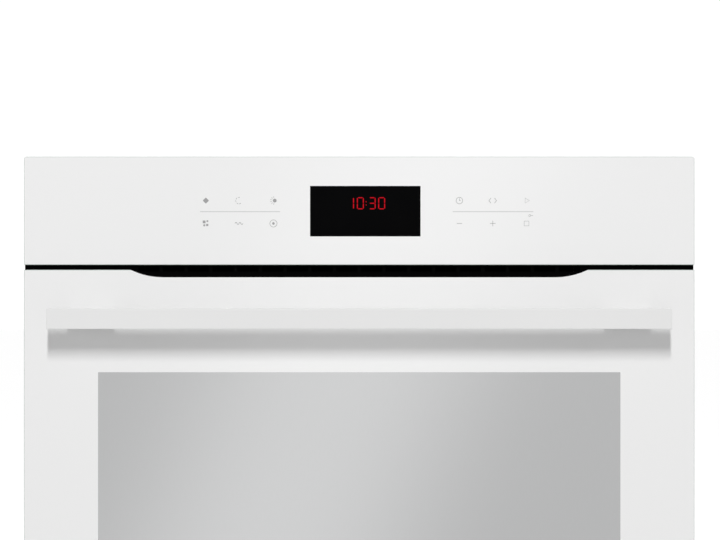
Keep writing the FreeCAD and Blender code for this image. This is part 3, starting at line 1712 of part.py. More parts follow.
def handle():
    item = body("handle_bar")
    face = sketch(item, "y", "handle_front")
    rectangle(face, ("-handle_end", "handle_end"), ("handle_bottom", "handle_top"))
    pad(item, face, "handle_gauge")
    fillet(item, "handle_round", lambda middle, run: True)
    keep("handle_bar", item)

    posts, screws = [], []
    for sign in SIDES.values():
        x, z = f"{sign} * handle_post_x", "handle_middle"
        post = box(
            (f"{x} - handle_post_width / 2", f"{x} + handle_post_width / 2"),
            ("handle_back", "glass_front"),
            (f"{z} - handle_post_height / 2", f"{z} + handle_post_height / 2"),
        )
        tapped = rod("y", "handle_screw", "handle_screw_grip", x, "glass_front - handle_screw_grip", z)
        posts.append(cut(post, tapped))
        shank = rod(
            "y",
            "handle_screw",
            "handle_screw_grip - handle_tail + glass_gauge",
            x,
            "glass_front - handle_screw_grip + handle_tail",
            z,
        )
        head = rod("y", "handle_screw * 1.9", "handle_screw * 1.3", x, "glass_back", z)
        screws.append(fused(shank, head))
    keep("handle_posts", together(*posts, name="handle_posts"))
    keep("handle_screws", together(*screws, name="handle_screws"))


# ---------------------------------------------------------------- the hinges


def hinge_receptacles():
    """Brackets behind the front frame that the hinge arms hook into."""
    x = ("column_middle - arm_gauge - 2", "column_middle + arm_gauge + 2")
    y = ("frame_back", "frame_back + receptacle_depth")
    outer = box(x, y, ("hinge_z - arm_boss - 4", "hinge_z + arm_boss + 4"))
    inner = box(
        ("column_middle - arm_side", "column_middle + arm_side"),
        (f"{y[0]} - 1", f"{y[1]} + 1"),
        ("hinge_z - arm_boss - 2", "hinge_z + arm_boss + 2"),
    )
    peg = rod("x", "2", "arm_gauge * 2 + 4", x[0], "peg_y", "peg_z")
    keep("hinge_receptacles", both_sides(fused(cut(outer, inner), peg), name="hinge_receptacles"))


def hinge_arms():
    """Flat arms: a boss on the pin, a bar back to the bracket and a lever up to the rod."""
    x = ("column_middle - arm_side", "column_middle + arm_side")
    boss = rod("x", "arm_boss", "arm_gauge", x[0], "hinge_y", "hinge_z")
    bar = box(x, ("hinge_y", "hinge_y + arm_reach"), ("hinge_z - 4", "hinge_z + 4"))
    lever = box(x, ("hinge_y - lever_half", "hinge_y + lever_half"), ("hinge_z", "hinge_z + lever_length"))
    tip = rod("x", "lever_half", "arm_gauge", x[0], "hinge_y", "hinge_z + lever_length")
    bore = rod("x", "hinge_pin_radius + hinge_play", "arm_gauge + 2", f"{x[0]} - 1", "hinge_y", "hinge_z")
    notch = box(
        (f"{x[0]} - 1", f"{x[1]} + 1"),
        ("peg_y - 2", "peg_y + 2"),
        ("peg_z - 2", "hinge_z + 5"),
    )
    arm = cut(fused(boss, bar, lever, tip), bore, notch)
    keep("hinge_arms", both_sides(arm, name="hinge_arms"))


def hinge_channels():
    """U-channels inside the columns that carry the pin and the spring's seat."""
    middle, gauge = "column_middle", "channel_gauge"
    front, back = "glass_back + column_gauge", "channel_back"
    z = ("core_bottom", "hinge_z + channel_length")
    side, inner = "channel_side", "channel_side - channel_gauge"
    outer = box((f"{middle} - {side}", f"{middle} + {side}"), (front, back), z)
    hollow = box(
        (f"{middle} - ({inner})", f"{middle} + {inner}"),
        (f"{front} + {gauge}", f"{back} + 1"),
        (f"{z[0]} - 1", f"{z[1]} + 1"),
    )
    seat = box(
        (f"{middle} - ({inner})", f"{middle} + {inner}"),
        (f"{front} + {gauge}", back),
        (f"spring_foot - {gauge}", "spring_foot"),
    )
    hole = rod("z", "hinge_rod + 0.4", f"{gauge} + 2", middle, "hinge_y", f"spring_foot - {gauge} - 1")
    pin = rod("x", "hinge_pin_radius", "channel_width", f"{middle} - {side}", "hinge_y", "hinge_z")
    channel_piece = cut(outer, hollow, pin)
    keep("hinge_channels", both_sides(fused(channel_piece, cut(seat, hole)), name="hinge_channels"))
    axle = rod("x", "hinge_pin_radius", "channel_width", f"{middle} - {side}", "hinge_y", "hinge_z")
    keep("hinge_pins", both_sides(axle, name="hinge_pins"))


def hinge_rods():
    """Pull rods through the springs, with a washer and nut on top and a shoe below."""
    x, y = "column_middle", "hinge_y"
    stem = rod("z", "hinge_rod", "rod_head - rod_foot", x, y, "rod_foot")
    washer = rod("z", "spring_outer", "2", x, y, "rod_head")
    nut = rod("z", "hinge_rod * 1.8", "4", x, y, "rod_head + 2")
    shoe = rod("z", "hinge_rod * 1.5", "5", x, y, "rod_foot")
    keep("hinge_rods", both_sides(fused(stem, washer, nut, shoe), name="hinge_rods"))


def hinge_springs():
    """Compression springs between the channel's seat and the rod's washer."""
    wire, outer = size("spring_wire"), size("spring_outer")
    ring = outer - wire - 0.2
    foot, length = size("spring_foot"), size("rod_head - spring_foot")
    rise = length - 2 * wire
    helix = Part.makeHelix(rise / SPRING_TURNS, rise, ring)
    section = Part.Wire(Part.makeCircle(wire, Vector(ring, 0, 0), Vector(0, 1, 0)))
    coil = Part.Wire(helix).makePipeShell([section], True, True)
    springs = []
    for sign in (-1, 1):
        spring = coil.copy()
        spring.translate(Vector(sign * size("column_middle"), size("hinge_y"), foot + wire))
        springs.append(spring)
    keep("hinge_springs", shaped("hinge_springs", Part.makeCompound(springs)))


# ---------------------------------------------------------------- build, check and write


def build_oven():
    fill_the_sheet()
    casing_base()
    casing_sides()
    casing_back()
    casing_top()
    sheet_metal_screws()
    front_frame()
    cavity_liner()
    door_gasket()
    insulation_blanket()
    flue_pipe()
    flat_element("grill_element", "grill_z", "cavity_rear - 52")
    flat_element("bottom_element", "base_z", "cavity_rear - 22")
    ring_element()
    fan_cover()
    convection_fan()
    fan_shaft()
    fan_motor()
    oven_lamp()
    temperature_probe()
    side_racks()
    runners()
    baking_tray()
    wire_shelf()
    blower()
    outlet_duct()
    vent_strip()
    control_glass()
    control_carrier()
    touch_board()
    display_module()
    power_board()
    mains_inlet()
    wiring_loom()
    door_outer_glass()
    inner_panes()
    door_columns()
    door_top_trim()
    door_bottom_rail()
    pane_clips()
    handle()
    hinge_receptacles()
    hinge_arms()
    hinge_channels()
    hinge_rods()
    hinge_springs()
    doc.recompute()


def check_oven():
    for item in doc.Objects:
        if "Invalid" in item.State or "Error" in item.State:
            raise RuntimeError(f"{item.Name} ({item.Label}) failed: {item.State}")
    for name, item in parts.items():
        if item.Label != name:
            raise RuntimeError(f"{name} is labelled {item.Label}")
        if item.Shape.isNull() or not item.Shape.isValid():
            raise RuntimeError(f"{name} has no valid shape")
        if not item.Shape.Solids:
            raise RuntimeError(f"{name} has no solid")


def write_parts():
    os.makedirs("parts", exist_ok=True)
    for name, item in parts.items():
        item.Shape.exportStep(f"parts/{name}.step")
    print(f"{len(parts)} pieces written")


build_oven()
check_oven()
write_parts()
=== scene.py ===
# %% [markdown]
# # A built-in oven, finished in Blender
# The oven's structure comes from its CAD model: casing, cavity, door, hinges, racks and fan. This
# lesson gives every part the finish that the real one has, adds the printed and soft details that
# CAD leaves out, and sets up a studio around it. Nothing here moves or resizes a CAD part.

# %% Load the frame
import json
import math

import bmesh
import bpy
from mathutils import Matrix, Vector

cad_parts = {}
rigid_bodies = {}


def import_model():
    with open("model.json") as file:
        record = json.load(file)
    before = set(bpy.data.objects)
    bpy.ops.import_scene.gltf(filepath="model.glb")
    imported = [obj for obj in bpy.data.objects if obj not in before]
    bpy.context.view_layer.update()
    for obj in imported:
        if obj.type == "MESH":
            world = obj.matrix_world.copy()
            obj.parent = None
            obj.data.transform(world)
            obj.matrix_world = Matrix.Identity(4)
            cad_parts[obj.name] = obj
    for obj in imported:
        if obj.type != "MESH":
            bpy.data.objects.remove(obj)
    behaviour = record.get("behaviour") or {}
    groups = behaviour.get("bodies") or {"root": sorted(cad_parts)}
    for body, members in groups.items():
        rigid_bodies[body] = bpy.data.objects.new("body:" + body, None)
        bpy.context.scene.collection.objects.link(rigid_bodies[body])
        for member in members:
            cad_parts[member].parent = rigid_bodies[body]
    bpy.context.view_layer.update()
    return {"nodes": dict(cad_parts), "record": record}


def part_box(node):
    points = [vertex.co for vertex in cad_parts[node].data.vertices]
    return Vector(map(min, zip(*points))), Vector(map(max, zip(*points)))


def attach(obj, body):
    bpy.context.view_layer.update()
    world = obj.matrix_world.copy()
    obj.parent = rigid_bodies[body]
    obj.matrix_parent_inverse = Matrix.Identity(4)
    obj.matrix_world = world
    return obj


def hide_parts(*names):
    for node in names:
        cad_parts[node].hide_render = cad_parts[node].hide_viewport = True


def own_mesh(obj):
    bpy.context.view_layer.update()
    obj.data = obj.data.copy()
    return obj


for leftover in list(bpy.data.objects):
    bpy.data.objects.remove(leftover)
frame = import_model()
nodes, record = frame["nodes"], frame["record"]

# %% [markdown]
# ## Places to work from
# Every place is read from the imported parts, so that the details stay on the oven if it changes.
# The front faces -Y: the plane of both front glasses is the one that print and digits lie on.

# %% Places on the oven
MM = 0.001
panel_low, panel_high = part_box("control_glass")
door_low, door_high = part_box("door_outer_glass")
display_low, display_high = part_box("display_module")
FRONT = panel_low.y
print("front plane at y =", round(FRONT, 4))

# %% [markdown]
# ## The studio
# The oven is shown square on, as in a catalogue: a long lens far away keeps its edges parallel. The
# camera stands level with the door's upper part and looks straight along +Y.

# %% Camera
LENS = 200
SENSOR = 36
FRAME_WIDTH = 0.6389
EYE = Vector((0.0007, 0, 0.5024))

camera_data = bpy.data.cameras.new("camera")
camera_data.lens = LENS
camera_data.sensor_width = SENSOR
camera = bpy.data.objects.new("camera", camera_data)
EYE.y = FRONT - FRAME_WIDTH * LENS / SENSOR
camera.location = EYE
camera.rotation_euler = (math.radians(90), 0, 0)
bpy.context.scene.collection.objects.link(camera)
bpy.context.scene.camera = camera
bpy.context.scene.view_settings.view_transform = "Standard"
print("camera stands", round(FRONT - EYE.y, 2), "m in front of the glass")

# %% [markdown]
# Light comes from a few sources. A tall, narrow strip high in front draws the handle's shadow: it is
# narrow across, so the shadow's ends stay crisp, and tall, so its lower edge fades. The white room
# gives the fill, a little stronger from below, as over a pale floor, and is seen as pure white. A
# slanting soft beam in the room, straight behind the camera, is what the glossy glass mirrors:
# without it, polished glass would look like card. A weak wide light behind shapes the casing.

# %% Lights
def area_light(name, place, target, width, height, power):
    data = bpy.data.lights.new(name, "AREA")
    data.shape = "RECTANGLE"
    data.size, data.size_y, data.energy = width, height, power
    light = bpy.data.objects.new(name, data)
    aim = Vector(target) - Vector(place)
    light.matrix_world = Matrix.Translation(place) @ aim.to_track_quat("-Z", "Y").to_matrix().to_4x4()
    bpy.context.scene.collection.objects.link(light)
    return light


area_light("key_strip", place=(0, FRONT - 5.4, 3.56), target=(0, FRONT, 0.44),
           width=0.28, height=1.5, power=211)
area_light("rear_soft", place=(-2.4, 2.6, 1.5), target=(0, 0, 0.3), width=2.2, height=2.2, power=14)


SEEN_WHITE = 1.05


class Room:
    """The world: a white room with one soft beam behind the camera."""

    def __init__(self):
        world = bpy.data.worlds.new("room")
        bpy.context.scene.world = world
        world.use_nodes = True
        self.tree = world.node_tree
        self.tree.nodes.clear()

    def node(self, kind, values, output=0, **settings):
        node = self.tree.nodes.new(kind)
        for name, value in settings.items():
            setattr(node, name, value)
        for name, value in values.items():
            if isinstance(value, bpy.types.NodeSocket):
                self.tree.links.new(value, node.inputs[name])
            else:
                node.inputs[name].default_value = value
        return node.outputs[output]

    def maths(self, operation, *values):
        return self.node("ShaderNodeMath", dict(enumerate(values)), operation=operation)

    def light(self, fill, rise, beam, tilt, centre, reach):
        """Fill that changes with height, plus a beam that fades over the reach from its middle line."""
        direction = self.node("ShaderNodeTexCoord", {}, output="Generated")
        across = self.node("ShaderNodeVectorMath", {0: direction, 1: (1, 0, tilt)}, "Value",
                           operation="DOT_PRODUCT")
        off = self.maths("ABSOLUTE", self.maths("SUBTRACT", across, centre))
        fade = {"Value": off, "From Max": reach, "To Min": beam, "To Max": 0.0}
        soft = self.node("ShaderNodeMapRange", fade, interpolation_type="SMOOTHERSTEP")
        ahead = self.node("ShaderNodeSeparateXYZ", {"Vector": direction}, "Y")
        up = self.node("ShaderNodeSeparateXYZ", {"Vector": direction}, "Z")
        behind = self.maths("LESS_THAN", ahead, -0.9)
        lit = self.maths("MULTIPLY_ADD", soft, behind, self.maths("MULTIPLY_ADD", up, rise, fill))
        seen = self.node("ShaderNodeLightPath", {}, "Is Camera Ray")
        strength = self.node("ShaderNodeMix", {0: seen, 2: lit, 3: SEEN_WHITE}, data_type="FLOAT")
        background = self.node("ShaderNodeBackground", {"Strength": strength, "Color": (1, 1, 1, 1)})
        output = self.tree.nodes.new("ShaderNodeOutputWorld")
        self.tree.links.new(background, output.inputs["Surface"])


Room().light(fill=0.512, rise=-0.2, beam=1.05, tilt=-0.4, centre=0.005, reach=0.062)
print("the room and", len(bpy.data.lights), "lights are set")

# %% [markdown]
# ## Shader maths as Python
# A finish is a small tree of nodes. Written by hand, such trees get long, so one class wraps a socket
# and lets Python's own signs add the Math nodes, and another makes any node in a single call.

# %% Sockets and finishes
class Socket:
    """One output of a material's tree, which takes part in sums."""

    def __init__(self, finish, output):
        self.finish = finish
        self.output = output

    def maths(self, operation, *values, clamp=False):
        settings = {"operation": operation, "use_clamp": clamp}
        return self.finish.node("ShaderNodeMath", settings, dict(enumerate(values)))

    def __add__(self, other):
        return self.maths("ADD", self, other)

    def __rsub__(self, other):
        return self.maths("SUBTRACT", other, self)

    def __mul__(self, other):
        return self.maths("MULTIPLY", self, other)

    __radd__ = __add__
    __rmul__ = __mul__

    def near(self, centre, reach):
        """1 where the value is within reach of the centre, else 0."""
        return self.maths("COMPARE", self, centre, reach)

    def between(self, low, high):
        """Rises from 0 to 1 as the value goes from low to high."""
        slope = 1 / (high - low)
        return self.maths("MULTIPLY_ADD", self, slope, -low * slope, clamp=True)


class Finish:
    """A procedural material around one Principled shader."""

    def __init__(self, name, **fixed):
        self.material = bpy.data.materials.new(name)
        self.material.use_nodes = True
        self.tree = self.material.node_tree
        self.shader = self.tree.nodes["Principled BSDF"]
        self.set(**fixed)

    def set(self, **values):
        """Sets sockets of the Principled shader; base_color means Base Color."""
        for name, value in values.items():
            words = name.replace("_", " ").title().replace("Ior", "IOR")
            self.join(self.shader.inputs[words], value)
        return self

    def join(self, socket, value):
        if isinstance(value, Socket):
            self.tree.links.new(value.output, socket)
        elif isinstance(value, tuple) and len(value) == 3 and socket.type == "RGBA":
            socket.default_value = (*value, 1)
        else:
            socket.default_value = value

    def node(self, kind, settings=None, values=None, output=0):
        node = self.tree.nodes.new(kind)
        for name, value in (settings or {}).items():
            setattr(node, name, value)
        for name, value in (values or {}).items():
            self.join(node.inputs[name], value)
        return Socket(self, node.outputs[output])

    def place(self, scale=(1, 1, 1)):
        """Object coordinates in metres, stretched if a pattern needs it."""
        spot = self.node("ShaderNodeTexCoord", output="Object")
        if scale == (1, 1, 1):
            return spot
        return self.node("ShaderNodeMapping", None, {"Vector": spot, "Scale": scale})

    def along(self, axis):
        return self.node("ShaderNodeSeparateXYZ", None, {"Vector": self.place()}, output=axis)

    def noise(self, scale, detail=3.0, stretch=(1, 1, 1), roughness=0.5):
        values = {"Vector": self.place(stretch), "Scale": scale, "Detail": detail, "Roughness": roughness}
        return self.node("ShaderNodeTexNoise", {"noise_dimensions": "3D"}, values)

    def cells(self, scale, output="Distance"):
        values = {"Vector": self.place(), "Scale": scale}
        return self.node("ShaderNodeTexVoronoi", {"feature": "F1"}, values, output)

    def mix(self, share, low, high):
        """A colour between two colours."""
        values = {0: share, 6: low, 7: high}
        settings = {"data_type": "RGBA"}
        return self.node("ShaderNodeMix", settings, values, output=2)

    def bump(self, height, depth, strength=1.0):
        values = {"Height": height, "Distance": depth, "Strength": strength}
        self.set(normal=self.node("ShaderNodeBump", None, values, output="Normal"))
        return self


def spread(value, centre, swing):
    """Turns noise around 0.5 into a value around a centre."""
    return value * swing + (centre - swing / 2)


finishes = {}
print("finishes are made with", Finish.__name__)

# %% [markdown]
# ## Front glass
# Both front glasses are clear panes printed white on the back. Seen from the front that reads as
# white under a deep gloss, so the finish is a white base with a clear coat. The pane's ground edge is
# bare, and there the green of the glass shows. The door's window is left out of the white print: it
# is backed by a silvery reflecting film, so the finish turns metallic inside the window's outline.

# %% White glass with its print
WHITE = (0.856, 0.856, 0.855)
GLASS_EDGE = (0.66, 0.73, 0.69)
RIM = 0.5 * MM
SILVER = (0.53, 0.533, 0.536)
WINDOW_SIDE = 0.23175
WINDOW_TOP = 0.4117
WINDOW_BOTTOM = 0.106


def front_glass(name, low, high, **fixed):
    """White print under gloss, with the green ground edge round the outline."""
    finish = Finish(name, coat_weight=1.0, coat_roughness=0.02, coat_ior=1.5, **fixed)
    x, z = finish.along("X"), finish.along("Z")
    middle, half = (low + high) / 2, (high - low) / 2
    inside = x.near(middle.x, half.x - RIM) * z.near(middle.z, half.z - RIM)
    cloud = finish.noise(1.2, 2.0)
    white = finish.mix(cloud, tuple(c - 0.006 for c in WHITE), tuple(c + 0.006 for c in WHITE))
    return finish, finish.mix(inside, GLASS_EDGE, white), x, z


def white_door_glass():
    """The door's pane, with its silvery window."""
    finish, colour, x, z = front_glass("white_glass_door", door_low, door_high)
    middle, half_height = (WINDOW_TOP + WINDOW_BOTTOM) / 2, (WINDOW_TOP - WINDOW_BOTTOM) / 2
    window = x.near(0, WINDOW_SIDE) * z.near(middle, half_height)
    grain = finish.noise(900, 1.0, stretch=(1, 1, 0.12))
    film = finish.mix(grain, tuple(c * 0.985 for c in SILVER), tuple(c * 1.015 for c in SILVER))
    colour = finish.mix(window, colour, film)
    return finish.set(base_color=colour, roughness=0.38 - window * 0.3, metallic=window * 0.18)


def white_panel_glass():
    finish, colour, _, _ = front_glass("white_glass_panel", panel_low, panel_high)
    return finish.set(base_color=colour, roughness=0.38)


finishes["door_outer_glass"] = white_door_glass()
finishes["control_glass"] = white_panel_glass()
print("white glass with a window", round(2 * WINDOW_SIDE, 3), "m wide")

# %% [markdown]
# ## Clear glass
# The two inner panes of the door, the lamp's lens and its bulb are clear. A pane sends back about a
# tenth of the light and lets the rest through. So its finish is a faint mirror: metallic, very smooth,
# and nearly all alpha, which also lets light fall through to what is behind. Wiping marks make the
# smoothness uneven.

# %% Clear glass
def clear_glass(reflected):
    finish = Finish("clear_glass", metallic=1.0)
    wiped = finish.noise(14, 4.0)
    tint = finish.mix(wiped, (0.80, 0.90, 0.86), (0.90, 0.97, 0.94))
    finish.set(base_color=tint, roughness=spread(wiped, 0.03, 0.04))
    return finish.set(alpha=spread(wiped, reflected, 0.03))


finishes["clear_glass"] = clear_glass(reflected=0.13)
print("clear glass has", len(finishes["clear_glass"].tree.nodes), "nodes")

# %% [markdown]
# ## Metals
# Zinc-coated sheet has flat crystals that catch the light differently. Bright wire is chromed. The
# door's side profiles are anodised and brushed along their length, and turned parts show a fine grain.
# Each is a metallic base whose colour and roughness vary at the scale of the real thing.

# %% Metals
def zinc_sheet():
    finish = Finish("zinc_sheet", metallic=1.0)
    crystal = finish.cells(75, output="Color")
    grey = finish.node("ShaderNodeRGBToBW", None, {"Color": crystal})
    cloud = finish.noise(7, 3.0)
    feather = finish.noise(190, 3.0, roughness=0.7)
    tone = grey * 0.6 + cloud * 0.2 + feather * 0.2
    finish.set(base_color=finish.mix(tone, (0.44, 0.46, 0.475), (0.78, 0.79, 0.80)))
    return finish.set(roughness=spread(grey, 0.36, 0.26)).bump(grey + feather * 0.5, 0.03 * MM)


def zinc_screw():
    finish = Finish("zinc_screw", metallic=1.0)
    tone = finish.noise(240, 3.0)
    finish.set(base_color=finish.mix(tone, (0.62, 0.60, 0.52), (0.80, 0.79, 0.72)))
    return finish.set(roughness=spread(tone, 0.3, 0.15))


def chromed_wire():
    finish = Finish("chromed_wire", metallic=1.0)
    haze = finish.noise(60, 4.0)
    finish.set(base_color=finish.mix(haze, (0.66, 0.66, 0.68), (0.80, 0.80, 0.815)))
    return finish.set(roughness=spread(haze, 0.14, 0.12)).bump(finish.noise(700, 2.0), 0.01 * MM)


def brushed(name, dark, light, stretch, roughness=0.32):
    finish = Finish(name, metallic=1.0)
    lines = finish.noise(55, 6.0, stretch=stretch, roughness=0.65)
    finish.set(base_color=finish.mix(lines, dark, light), roughness=spread(lines, roughness, 0.18))
    return finish.bump(lines, 0.015 * MM)


def heater_steel():
    finish = Finish("heater_steel", metallic=0.85)
    patch = finish.noise(22, 4.0)
    fine = finish.noise(380, 3.0)
    burnt = finish.mix(patch, (0.045, 0.042, 0.045), (0.16, 0.125, 0.10))
    finish.set(base_color=burnt, roughness=spread(fine, 0.5, 0.2))
    return finish.bump(fine, 0.03 * MM)


def laminated_iron():
    finish = Finish("motor_iron", metallic=0.9)
    values = {"Vector": finish.place(), "Scale": 320.0}
    sheets = finish.node("ShaderNodeTexWave", {"bands_direction": "Y"}, values)
    finish.set(base_color=finish.mix(sheets, (0.10, 0.10, 0.105), (0.30, 0.30, 0.31)), roughness=0.5)
    return finish.bump(sheets, 0.08 * MM)


finishes["galvanised_steel"] = zinc_sheet()
finishes["zinc_screw"] = zinc_screw()
finishes["chromed_wire"] = chromed_wire()
finishes["heater_steel"] = heater_steel()
finishes["motor_iron"] = laminated_iron()
finishes["column_aluminium"] = brushed("brushed_column", (0.50, 0.51, 0.52), (0.70, 0.71, 0.72),
                                       stretch=(12, 12, 0.25))
finishes["fan_aluminium"] = brushed("mill_aluminium", (0.55, 0.56, 0.57), (0.74, 0.75, 0.76),
                                    stretch=(6, 6, 6))
finishes["shaft_steel"] = brushed("turned_steel", (0.42, 0.42, 0.43), (0.62, 0.62, 0.63),
                                  stretch=(20, 20, 20), roughness=0.26)
print("metals:", sum(finish.shader.inputs["Metallic"].default_value > 0.5 for finish in finishes.values()))

# %% [markdown]
# ## Enamel
# The cavity and the tray are enamelled: a dark glassy coat over steel, fired with tiny pale specks,
# and never perfectly flat. Fine cell noise makes the specks, where only the heart of a few cells
# passes a limit, and a slow noise gives the coat its ripple.

# %% Enamels
def speckled_enamel(name, ground, speck, size):
    finish = Finish(name, coat_weight=1.0, coat_roughness=0.05, roughness=0.35)
    dots = finish.cells(size)
    chosen = finish.noise(size * 0.45, 1.0)
    mask = (1 - dots.between(0.10, 0.22)) * chosen.between(0.48, 0.56)
    cloud = finish.noise(9, 3.0)
    base = finish.mix(cloud, tuple(c * 0.85 for c in ground), tuple(c * 1.15 for c in ground))
    finish.set(base_color=finish.mix(mask, base, speck))
    ripple = finish.noise(45, 2.0)
    return finish.bump(ripple + dots * 0.15, 0.12 * MM)


def frame_paint():
    finish = Finish("frame_paint", coat_weight=0.4, coat_roughness=0.15)
    tone = finish.noise(11, 3.0)
    finish.set(base_color=finish.mix(tone, (0.56, 0.565, 0.57), (0.62, 0.625, 0.63)))
    peel = finish.noise(650, 2.0)
    return finish.set(roughness=spread(tone, 0.38, 0.1)).bump(peel, 0.02 * MM)


finishes["cavity_enamel"] = speckled_enamel("cavity_enamel", (0.036, 0.039, 0.050), (0.42, 0.43, 0.46), 520)
finishes["tray_enamel"] = speckled_enamel("tray_enamel", (0.016, 0.017, 0.020), (0.22, 0.22, 0.23), 700)
finishes["frame_enamel"] = frame_paint()
print("enamels:", [name for name in finishes if name.endswith("enamel")])

# %% [markdown]
# ## The handle's paint
# The bar and its two posts are sprayed satin white, slightly greyer than the glass, so that the bar
# stands out against it. Sprayed paint has a fine skin like orange peel.

# %% Handle paint
def handle_paint():
    finish = Finish("handle_paint", coat_weight=0.25, coat_roughness=0.2)
    tone = finish.noise(6, 2.0)
    finish.set(base_color=finish.mix(tone, (0.765, 0.765, 0.763), (0.795, 0.795, 0.793)))
    peel = finish.noise(900, 2.0)
    return finish.set(roughness=spread(peel, 0.34, 0.08)).bump(peel, 0.012 * MM)


finishes["handle_paint"] = handle_paint()
print("handle paint has", len(finishes["handle_paint"].tree.nodes), "nodes")

# %% [markdown]
# ## Plastics, rubber, ceramic, board and wool
# Moulded plastic has a fine grain, circuit board has copper tracks under green lacquer, and mineral
# wool is a mat of fibres that all run roughly one way. The louvre, its duct and the blower's housing
# are black plastic, given a deeper black than real plastic has: painted shade, so that the gap under
# the panel stays dark.

# %% The other finishes
def moulded(name, dark, light, roughness=0.5, grain=1400):
    finish = Finish(name)
    tone = finish.noise(18, 3.0)
    finish.set(base_color=finish.mix(tone, dark, light))
    skin = finish.noise(grain, 2.0)
    return finish.set(roughness=spread(skin, roughness, 0.15)).bump(skin, 0.03 * MM)


def circuit_board():
    finish = Finish("circuit_board", coat_weight=0.5, coat_roughness=0.1, roughness=0.45)
    values = {"Vector": finish.place(), "Scale": 260.0, "Mortar Size": 0.012, "Brick Width": 1.7}
    tracks = finish.node("ShaderNodeTexBrick", None, values, output="Fac")
    return finish.set(base_color=finish.mix(tracks, (0.012, 0.10, 0.045), (0.05, 0.22, 0.10)))


def mineral_wool():
    finish = Finish("mineral_wool", roughness=0.95)
    fibres = finish.noise(70, 8.0, stretch=(1, 1, 7), roughness=0.75)
    finish.set(base_color=finish.mix(fibres, (0.30, 0.26, 0.15), (0.62, 0.57, 0.40)))
    return finish.bump(fibres, 1.2 * MM)


def ceramic():
    finish = Finish("ceramic_white", roughness=0.6)
    tone = finish.noise(120, 4.0)
    finish.set(base_color=finish.mix(tone, (0.70, 0.68, 0.62), (0.82, 0.81, 0.77)))
    return finish.bump(tone, 0.05 * MM)


finishes["black_plastic"] = moulded("black_plastic", (0.006, 0.006, 0.007), (0.014, 0.014, 0.016), 0.45)
# painted shade: an almost lightless black with next to no gloss, darker than real plastic
painted_shade_black = moulded("painted_shade_black", (0.0008, 0.0008, 0.0008), (0.0016, 0.0016, 0.0016), 0.9)
painted_shade_black.set(specular_ior_level=0.02)
finishes["vent_strip"] = finishes["outlet_duct"] = finishes["blower_housing"] = painted_shade_black
finishes["grey_plastic"] = moulded("grey_plastic", (0.16, 0.165, 0.17), (0.21, 0.215, 0.22), 0.5)
finishes["loom_rubber"] = moulded("loom_rubber", (0.010, 0.010, 0.011), (0.028, 0.028, 0.030), 0.6, 500)
finishes["seal_rubber"] = moulded("seal_rubber", (0.030, 0.030, 0.032), (0.060, 0.060, 0.062), 0.8, 600)
finishes["circuit_board"] = circuit_board()
finishes["mineral_wool"] = mineral_wool()
finishes["ceramic_white"] = ceramic()
print(len(finishes), "finishes so far")

# %% [markdown]
# ## Dress the CAD parts
# Each CAD part names a material slot in its record. A part with a finish of its own name takes that,
# as the two printed glasses do, and the others take the finish of their slot.

# %% Assign the finishes
def dress(item, finish):
    item.data.materials.clear()
    item.data.materials.append(finish.material)


slot_of = {part["node"]: part["material_slot"] for part in record["subparts"]}
for name, item in nodes.items():
    dress(item, finishes.get(name) or finishes[slot_of[name]])
print(len(finishes), "finishes on", len(nodes), "parts")

# %% [markdown]
# ## Making pieces
# The print on the panel and the digits are thin raised shapes. Each is drawn flat in the panel's own
# plane from a few simple forms: a bar, a disc, a ring and a regular polygon. Then all of them together
# get a thickness of a few hundredths of a millimetre, so that they stand just proud of the glass.

# %% Helpers for printed shapes
PRINT = 0.06 * MM
UPRIGHT = Matrix.Rotation(math.radians(90), 4, "X")


def at(x, z, turn=0):
    """A place in the front plane, turned by some degrees as seen from the front."""
    return Matrix.Translation((x, FRONT, z)) @ Matrix.Rotation(math.radians(-turn), 4, "Y") @ UPRIGHT


def bar(mesh, x, z, length, width, turn=0, pointed=False):
    """A flat bar about a centre; a pointed one has its corners cut away."""
    shape = Matrix.Diagonal((length / 2, width / 2, 1, 1))
    made = bmesh.ops.create_grid(mesh, x_segments=1, y_segments=1, size=1, matrix=at(x, z, turn) @ shape)
    if pointed:
        bmesh.ops.bevel(mesh, geom=made["verts"], offset=width * 0.46, affect="VERTICES", segments=1,
                        profile=0.5, material=-1)


def disc(mesh, x, z, radius, corners=20, turn=0):
    """A filled disc, or with few corners a diamond, square or triangle."""
    bmesh.ops.create_circle(mesh, cap_ends=True, segments=corners, radius=radius, matrix=at(x, z, turn))


def ring(mesh, x, z, radius, width, start=0, sweep=360, steps=28):
    """A flat ring or part of one: a short edge spun about its centre."""
    ends = [at(x, z, start) @ Vector((radius + side * width / 2, 0, 0)) for side in (-1, 1)]
    edge = mesh.edges.new([mesh.verts.new(end) for end in ends])
    bmesh.ops.spin(mesh, geom=[edge, *edge.verts], cent=(x, FRONT, z), axis=(0, -1, 0), steps=steps,
                   angle=math.radians(sweep), use_merge=sweep == 360, use_duplicate=False)


def outline(mesh, x, z, radius, width, corners, turn=0):
    """A polygon drawn as a line, such as a square or a triangle."""
    before = set(mesh.faces)
    disc(mesh, x, z, radius, corners, turn)
    face = (set(mesh.faces) - before).pop()
    bmesh.ops.inset_individual(mesh, faces=[face], thickness=width)
    bmesh.ops.delete(mesh, geom=[face], context="FACES_ONLY")


def finish_piece(name, mesh, finish, body, thickness=None):
    """Turns a bmesh into a piece that rides on a body."""
    if thickness:
        raised = bmesh.ops.extrude_face_region(mesh, geom=list(mesh.faces), use_keep_orig=True)
        tops = [part for part in raised["geom"] if isinstance(part, bmesh.types.BMVert)]
        bmesh.ops.translate(mesh, verts=tops, vec=(0, -thickness, 0))
    bmesh.ops.recalc_face_normals(mesh, faces=mesh.faces)
    data = bpy.data.meshes.new(name)
    mesh.to_mesh(data)
    mesh.free()
    item = bpy.data.objects.new(name, data)
    bpy.context.scene.collection.objects.link(item)
    dress(item, finish)
    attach(item, body)
    print(name, "has", len(data.polygons), "faces")
    return item


print("print stands", PRINT / MM, "mm proud")

